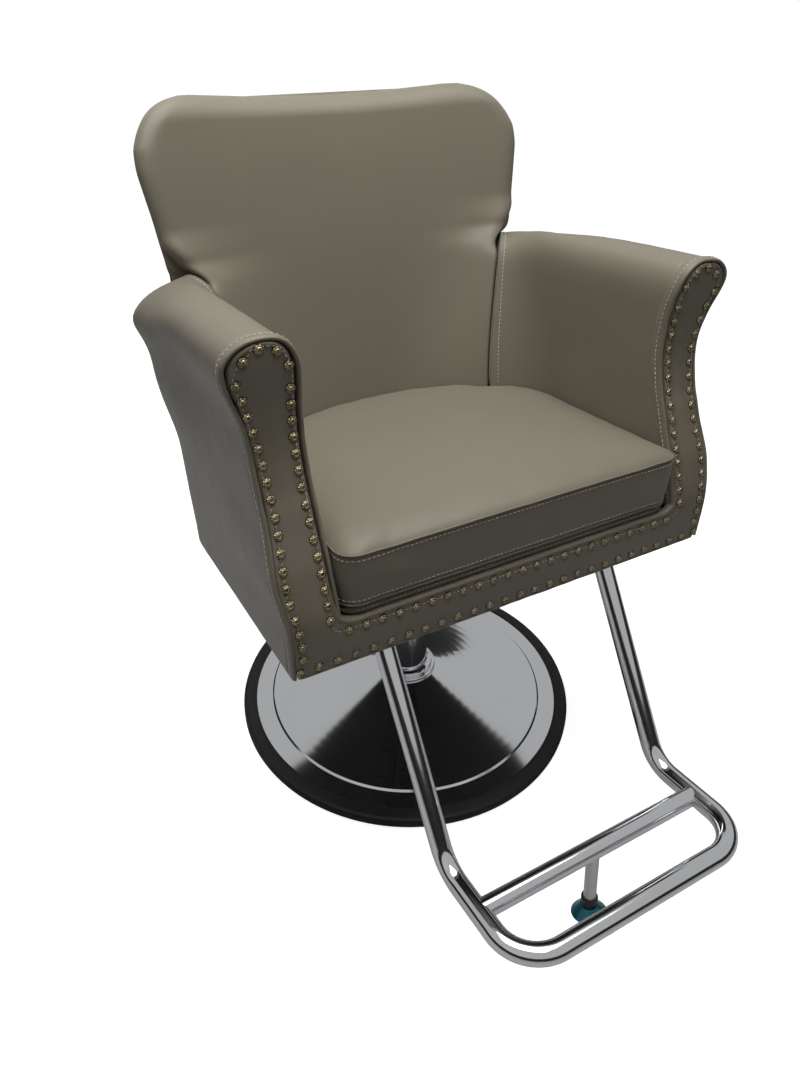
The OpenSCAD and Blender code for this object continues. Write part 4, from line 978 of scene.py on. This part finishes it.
panelTree = treeOf(addFrontPanel())
print("front panel made")


def addNails():
    bm = bmesh.new()
    layer = bm.loops.layers.uv.new("dome")
    rings, sides = nails["dome"], nails["sides"]
    for x, z in spots:
        slope = math.atan2(frontDepth(z + 4) - frontDepth(z - 4), 8)
        facing = (raked(0, -math.cos(slope), math.sin(slope)) - raked(0, 0, 0)).normalized()
        centre = raked(x, frontDepth(z) + 0.2, z)
        first = Vector((1, 0, 0))
        second = facing.cross(first).normalized()
        spin = (x * 0.37 + z * 0.71) % 6.28
        grid = bmesh.ops.create_grid(bm, x_segments=sides, y_segments=len(rings) - 1, size=0.5)["verts"]
        faces = {face for vert in grid for face in vert.link_faces}
        for face in faces:
            for loop in face.loops:
                loop[layer].uv = (loop.vert.co.x + 0.5, 1 - (loop.vert.co.y + 0.5))
        for vert in grid:
            share, height = rings[round((vert.co.y + 0.5) * (len(rings) - 1))]
            turn = spin + 2 * math.pi * (round((vert.co.x + 0.5) * sides) % sides) / sides
            vert.co = centre + (first * math.cos(turn) + second * math.sin(turn)) * (share * nails["radius"] * 0.001) \
                + facing * (height * nails["height"] * 0.001)
        bmesh.ops.remove_doubles(bm, verts=grid, dist=0.00001)
    rim = [edge for edge in bm.edges if edge.is_boundary]
    bmesh.ops.holes_fill(bm, edges=rim, sides=0)
    addPiece(finish(bm, "nail_heads_domed", nailMetal), ["nail_heads"])


# Stitches inside the nails: over the top of one column, and round the inner corner of the U
panelStitch = {
    "steps": 110, "top": 352,
    "cap": [(329, 352), (328, 364), (319, 376), (308, 384), (296, 386), (284, 382), (275, 373), (271, 360)],
    "corner": [(269, 72), (267, 62), (260, 55.5), (250, 54)],
}


def panelRun(path):
    return [snapTo(panelTree, raked(x, frontDepth(z) - 3, z), 0.0002) for x, z in path]


def addPanelStitching():
    steps = panelStitch["steps"]
    innerPath = [(mixed(-nails["innerX"], nails["innerX"], i / 100), nails["innerZ"] + 1.5) for i in range(101)]
    rows = [(panelRun(innerPath), False)]
    for side in (-1, 1):
        outerColumn = [(side * (outsideX(z) - nails["outerInset"] + 1), z) for z in
                       [mixed(nails["bottomZ"] + 4, panelStitch["top"], i / steps) for i in range(steps + 1)]]
        capPath = [(side * x, z) for x, z in splinePoints(panelStitch["cap"], 60)]
        innerColumn = [(side * (nails["innerColumnX"] - 1), z) for z in
                       [mixed(panelStitch["top"] + 6, nails["innerZ"] + 22, i / steps) for i in range(steps + 1)]]
        corner = [(side * x, z) for x, z in splinePoints(panelStitch["corner"], 16)]
        rows.append((panelRun(outerColumn + capPath + innerColumn + corner), False))
    addStitches("front_panel_stitching", rows, **panel["stitch"])


addNails()
addPanelStitching()
print("nails and stitching made")


# Back

back = {
    "faceSteps": 84, "lowerRings": 42, "upperRings": 84, "padDepth": 6.4, "lowDepth": 15, "seamTuck": 3.5,
    "bottom": 66.8, "waist": 352, "frontRound": 30, "rearRound": 16, "crestRound": 30,
}


def backHalfWidths(z):
    # Half width at the face and at the rear: between the arms below, one wing above them
    seam, wing = seamX(z), wingX(z)
    return (mixed(seam - 0.8, wing, easeStep((z - 366) / 60)),
            mixed(seam + (cornerX(z) - seam) * 0.84 - 0.8, wing, easeStep((z - back["waist"]) / 50)))


def rounding(gap, radius, least):
    # Height of a quarter round at a distance from its edge, as a share of its radius
    return math.sqrt(max(least, 1 - max(0, 1 - gap / radius) ** 2))


def addBack():
    # Rings from the deck to the crest; the upper ones close round the side edges
    waist, top = back["waist"], wingLine[-1][0]
    levels = [mixed(back["bottom"], waist, i / back["lowerRings"]) for i in range(back["lowerRings"] + 1)]
    for i in range(1, back["upperRings"] + 1):
        levels.append(waist + (top - waist) * math.sin(math.pi / 2 * i / back["upperRings"]))
    steps = back["faceSteps"]
    ring = 2 * steps + 2

    def place(u, v):
        z = levels[round(v * (len(levels) - 1))]
        k = round(u * ring) % ring
        front = k <= steps
        f = 1 - 2 * (k if front else ring - 1 - k) / steps
        halfFace, halfRear = backHalfWidths(z)
        rise = easeStep((z - 350) / 50)
        f = mixed(f, math.sin(math.pi / 2 * f), 0.35 + 0.65 * rise)
        x = (halfFace if front else halfRear) * f
        edge = (halfFace if front else halfRear) - abs(x)
        inner = backFaceY(x, z)
        outer = backRearY(x, z, mixed(back["lowDepth"], back["padDepth"], easeStep((z - 350) / 30)))
        middle = (inner + outer) / 2
        thin = clamp(rounding(top - z, back["crestRound"], 0.02), 0.12)
        roundFront = mixed(1, rounding(edge, back["frontRound"], 0.004), rise)
        roundRear = mixed(1, rounding(edge, back["rearRound"], 0.004), rise)
        if front:
            tuck = back["seamTuck"] * (1 - easeStep(edge / 11)) * (1 - rise)
            y = middle + (inner - middle) * roundFront * thin + tuck
        else:
            y = middle + (outer - middle) * roundRear * mixed(1, thin, 0.8)
        lift = -tub["crestDip"] * (1 - min(1, abs(x) / (0.5 * tub["armHeight"])) ** 2) \
            * clamp((z / tub["armHeight"] - 1.3) / 0.2)
        p = raked(x, y, z + lift)
        return p + Vector((0, 0.0006 * softNoise(p, 9, 5.0), 0))
    addPiece(skinObject("back_pad_cover", leather, ring, len(levels) - 1, place), ["back_pad"])


addBack()
print("back made")


outerBack = {"rows": 90, "steps": 60, "top": 566, "sideInset": 2.5, "wingShare": 0.955,
             "depth": 6, "curl": 4.5, "curlOver": 8}


def addOuterBack():
    # Thin outer skin behind the back, from the lower edge to under the crest
    steps, top = outerBack["steps"], outerBack["top"]
    ring = 2 * steps + 2

    def halfAt(z):
        return mixed(cornerX(z) - outerBack["sideInset"], wingX(z) * outerBack["wingShare"], easeStep((z - 340) / 60))

    def place(u, v):
        z = top * v
        k = round(u * ring) % ring
        rear = k <= steps
        f = 1 - 2 * (k if rear else ring - 1 - k) / steps
        x = halfAt(z) * f
        edge = min(halfAt(z) - abs(x), top - z)
        curl = outerBack["curl"] * (1 - easeStep(edge / outerBack["curlOver"])) * easeStep((z - 330) / 50)
        return raked(x, backRearY(x, z, curl if rear else outerBack["depth"]), z)
    addPiece(skinObject("outer_back_cover", leather, ring, outerBack["rows"], place), ["outer_back"])


addOuterBack()


seamTrim = {"foldRadius": 0.0013, "stitchesAt": 0.957, "lowest": 150, "inside": 300, "overFrom": 352}


def addBackTrim():
    # Folded seam and topstitch where each arm meets the back, up the inside and over the roll
    fold = bmesh.new()
    path = [(x, z) for x, z in armOutside
            if z > seamTrim["lowest"] and (x < seamTrim["inside"] or z > seamTrim["overFrom"])]
    rows = []
    for side, obj in ((-1, leftArm), (1, rightArm)):
        tree = treeOf(obj)
        addPipe(fold, [armPoint(x, z, 1.0, side) for x, z in path], seamTrim["foldRadius"], 8)
        rows.append(([snapTo(tree, armPoint(x, z, seamTrim["stitchesAt"], side), 0.0002) for x, z in path], False))
    addPiece(finish(fold, "back_seam_fold", leather))
    addStitches("back_seam_stitching", rows)


addBackTrim()
print("back trim made")


# Deck under the cushion

def addDeck():
    deck = {"bottom": 66.5, "top": 76.4, "halfWidth": 255, "front": 0.6, "steps": 200, "stitchedHalf": 236}
    middle = cushion["centreY"]
    outline = [Vector((p.x * deck["halfWidth"] / cushion["halfWidth"], p.y))
               for p in seatOutline(cushion["lowestPlan"], deck["front"])]
    loop = evenLoop(outline, deck["steps"])
    rows = [(0.0, deck["bottom"]), (0.99, deck["bottom"]), (0.997, deck["bottom"] + 1), (1.0, deck["bottom"] + 3),
            (1.0, deck["top"] - 3), (0.996, deck["top"] - 0.8), (0.985, deck["top"]), (0.0, deck["top"])]

    def place(u, v):
        share, z = rows[round(v * (len(rows) - 1))]
        p = loop[round(u * deck["steps"]) % deck["steps"]]
        return raked(p.x * share, middle + (p.y - middle) * share, z)
    obj = addPiece(skinObject("seat_deck_cover", leather, deck["steps"], len(rows) - 1, place), ["seat_deck"])
    tree = treeOf(obj)
    half = deck["stitchedHalf"]
    run = [snapTo(tree, raked(mixed(-half, half, i / 80), deck["front"] - 1, deck["top"] - 3.6), 0.0002)
           for i in range(81)]
    addStitches("seat_deck_stitching", [(run, False)])


addDeck()
print("deck made")


# Cloth under the tub, closed to the covers, with a hole for the hub and slots for the footrest

underCloth = {"z": 6.7, "thickness": 1.1, "inset": 7.2, "front": 19, "wallZ": 8, "hubY": 288, "hubRadius": 84,
              "slotX": (162, 202), "slotY": (38.6, 82.6)}


def addUnderCloth():
    inset, low, radius = underCloth["inset"], underCloth["wallZ"], underCloth["hubRadius"]
    half = [Vector((outerWall(low, 0).x - inset, underCloth["front"]))]
    for i in range(1, 41):
        wall, ahead = outerWall(low, i / 40), outerWall(low, i / 40 - 0.01)
        along = (wall - ahead).normalized()
        half.append(wall + Vector((-along.y, along.x)) * inset)
    rear = half[-1].x
    half += [Vector((rear * (1 - i / 12), wallRearY(rear * (1 - i / 12), low) - inset)) for i in range(1, 13)]
    outline = half + [Vector((-p.x, p.y)) for p in reversed(half[:-1])]
    hole = [Vector((radius * math.cos(a), underCloth["hubY"] + radius * math.sin(a)))
            for a in (math.pi * i / 32 for i in range(64))]
    (x0, x1), (y0, y1) = underCloth["slotX"], underCloth["slotY"]
    slots = [[Vector((side * x, y)) for x, y in ((x0, y0), (x1, y0), (x1, y1), (x0, y1))] for side in (-1, 1)]
    bm = bmesh.new()
    edges = []
    for ring in [outline, hole] + slots:
        verts = [bm.verts.new(raked(q.x, q.y, underCloth["z"])) for q in ring]
        edges += [bm.edges.new((a, b)) for a, b in zip(verts, verts[1:] + verts[:1])]
    bmesh.ops.triangle_fill(bm, use_beauty=True, edges=edges)
    lifted = bmesh.ops.extrude_face_region(bm, geom=bm.faces[:])["geom"]
    step = raked(0, 0, underCloth["thickness"]) - raked(0, 0, 0)
    bmesh.ops.translate(bm, verts=[v for v in lifted if isinstance(v, bmesh.types.BMVert)], vec=step)
    addPiece(finish(bm, "dust_cover_cloth", lining, False), ["dust_cover"])


addUnderCloth()
print("underside made")
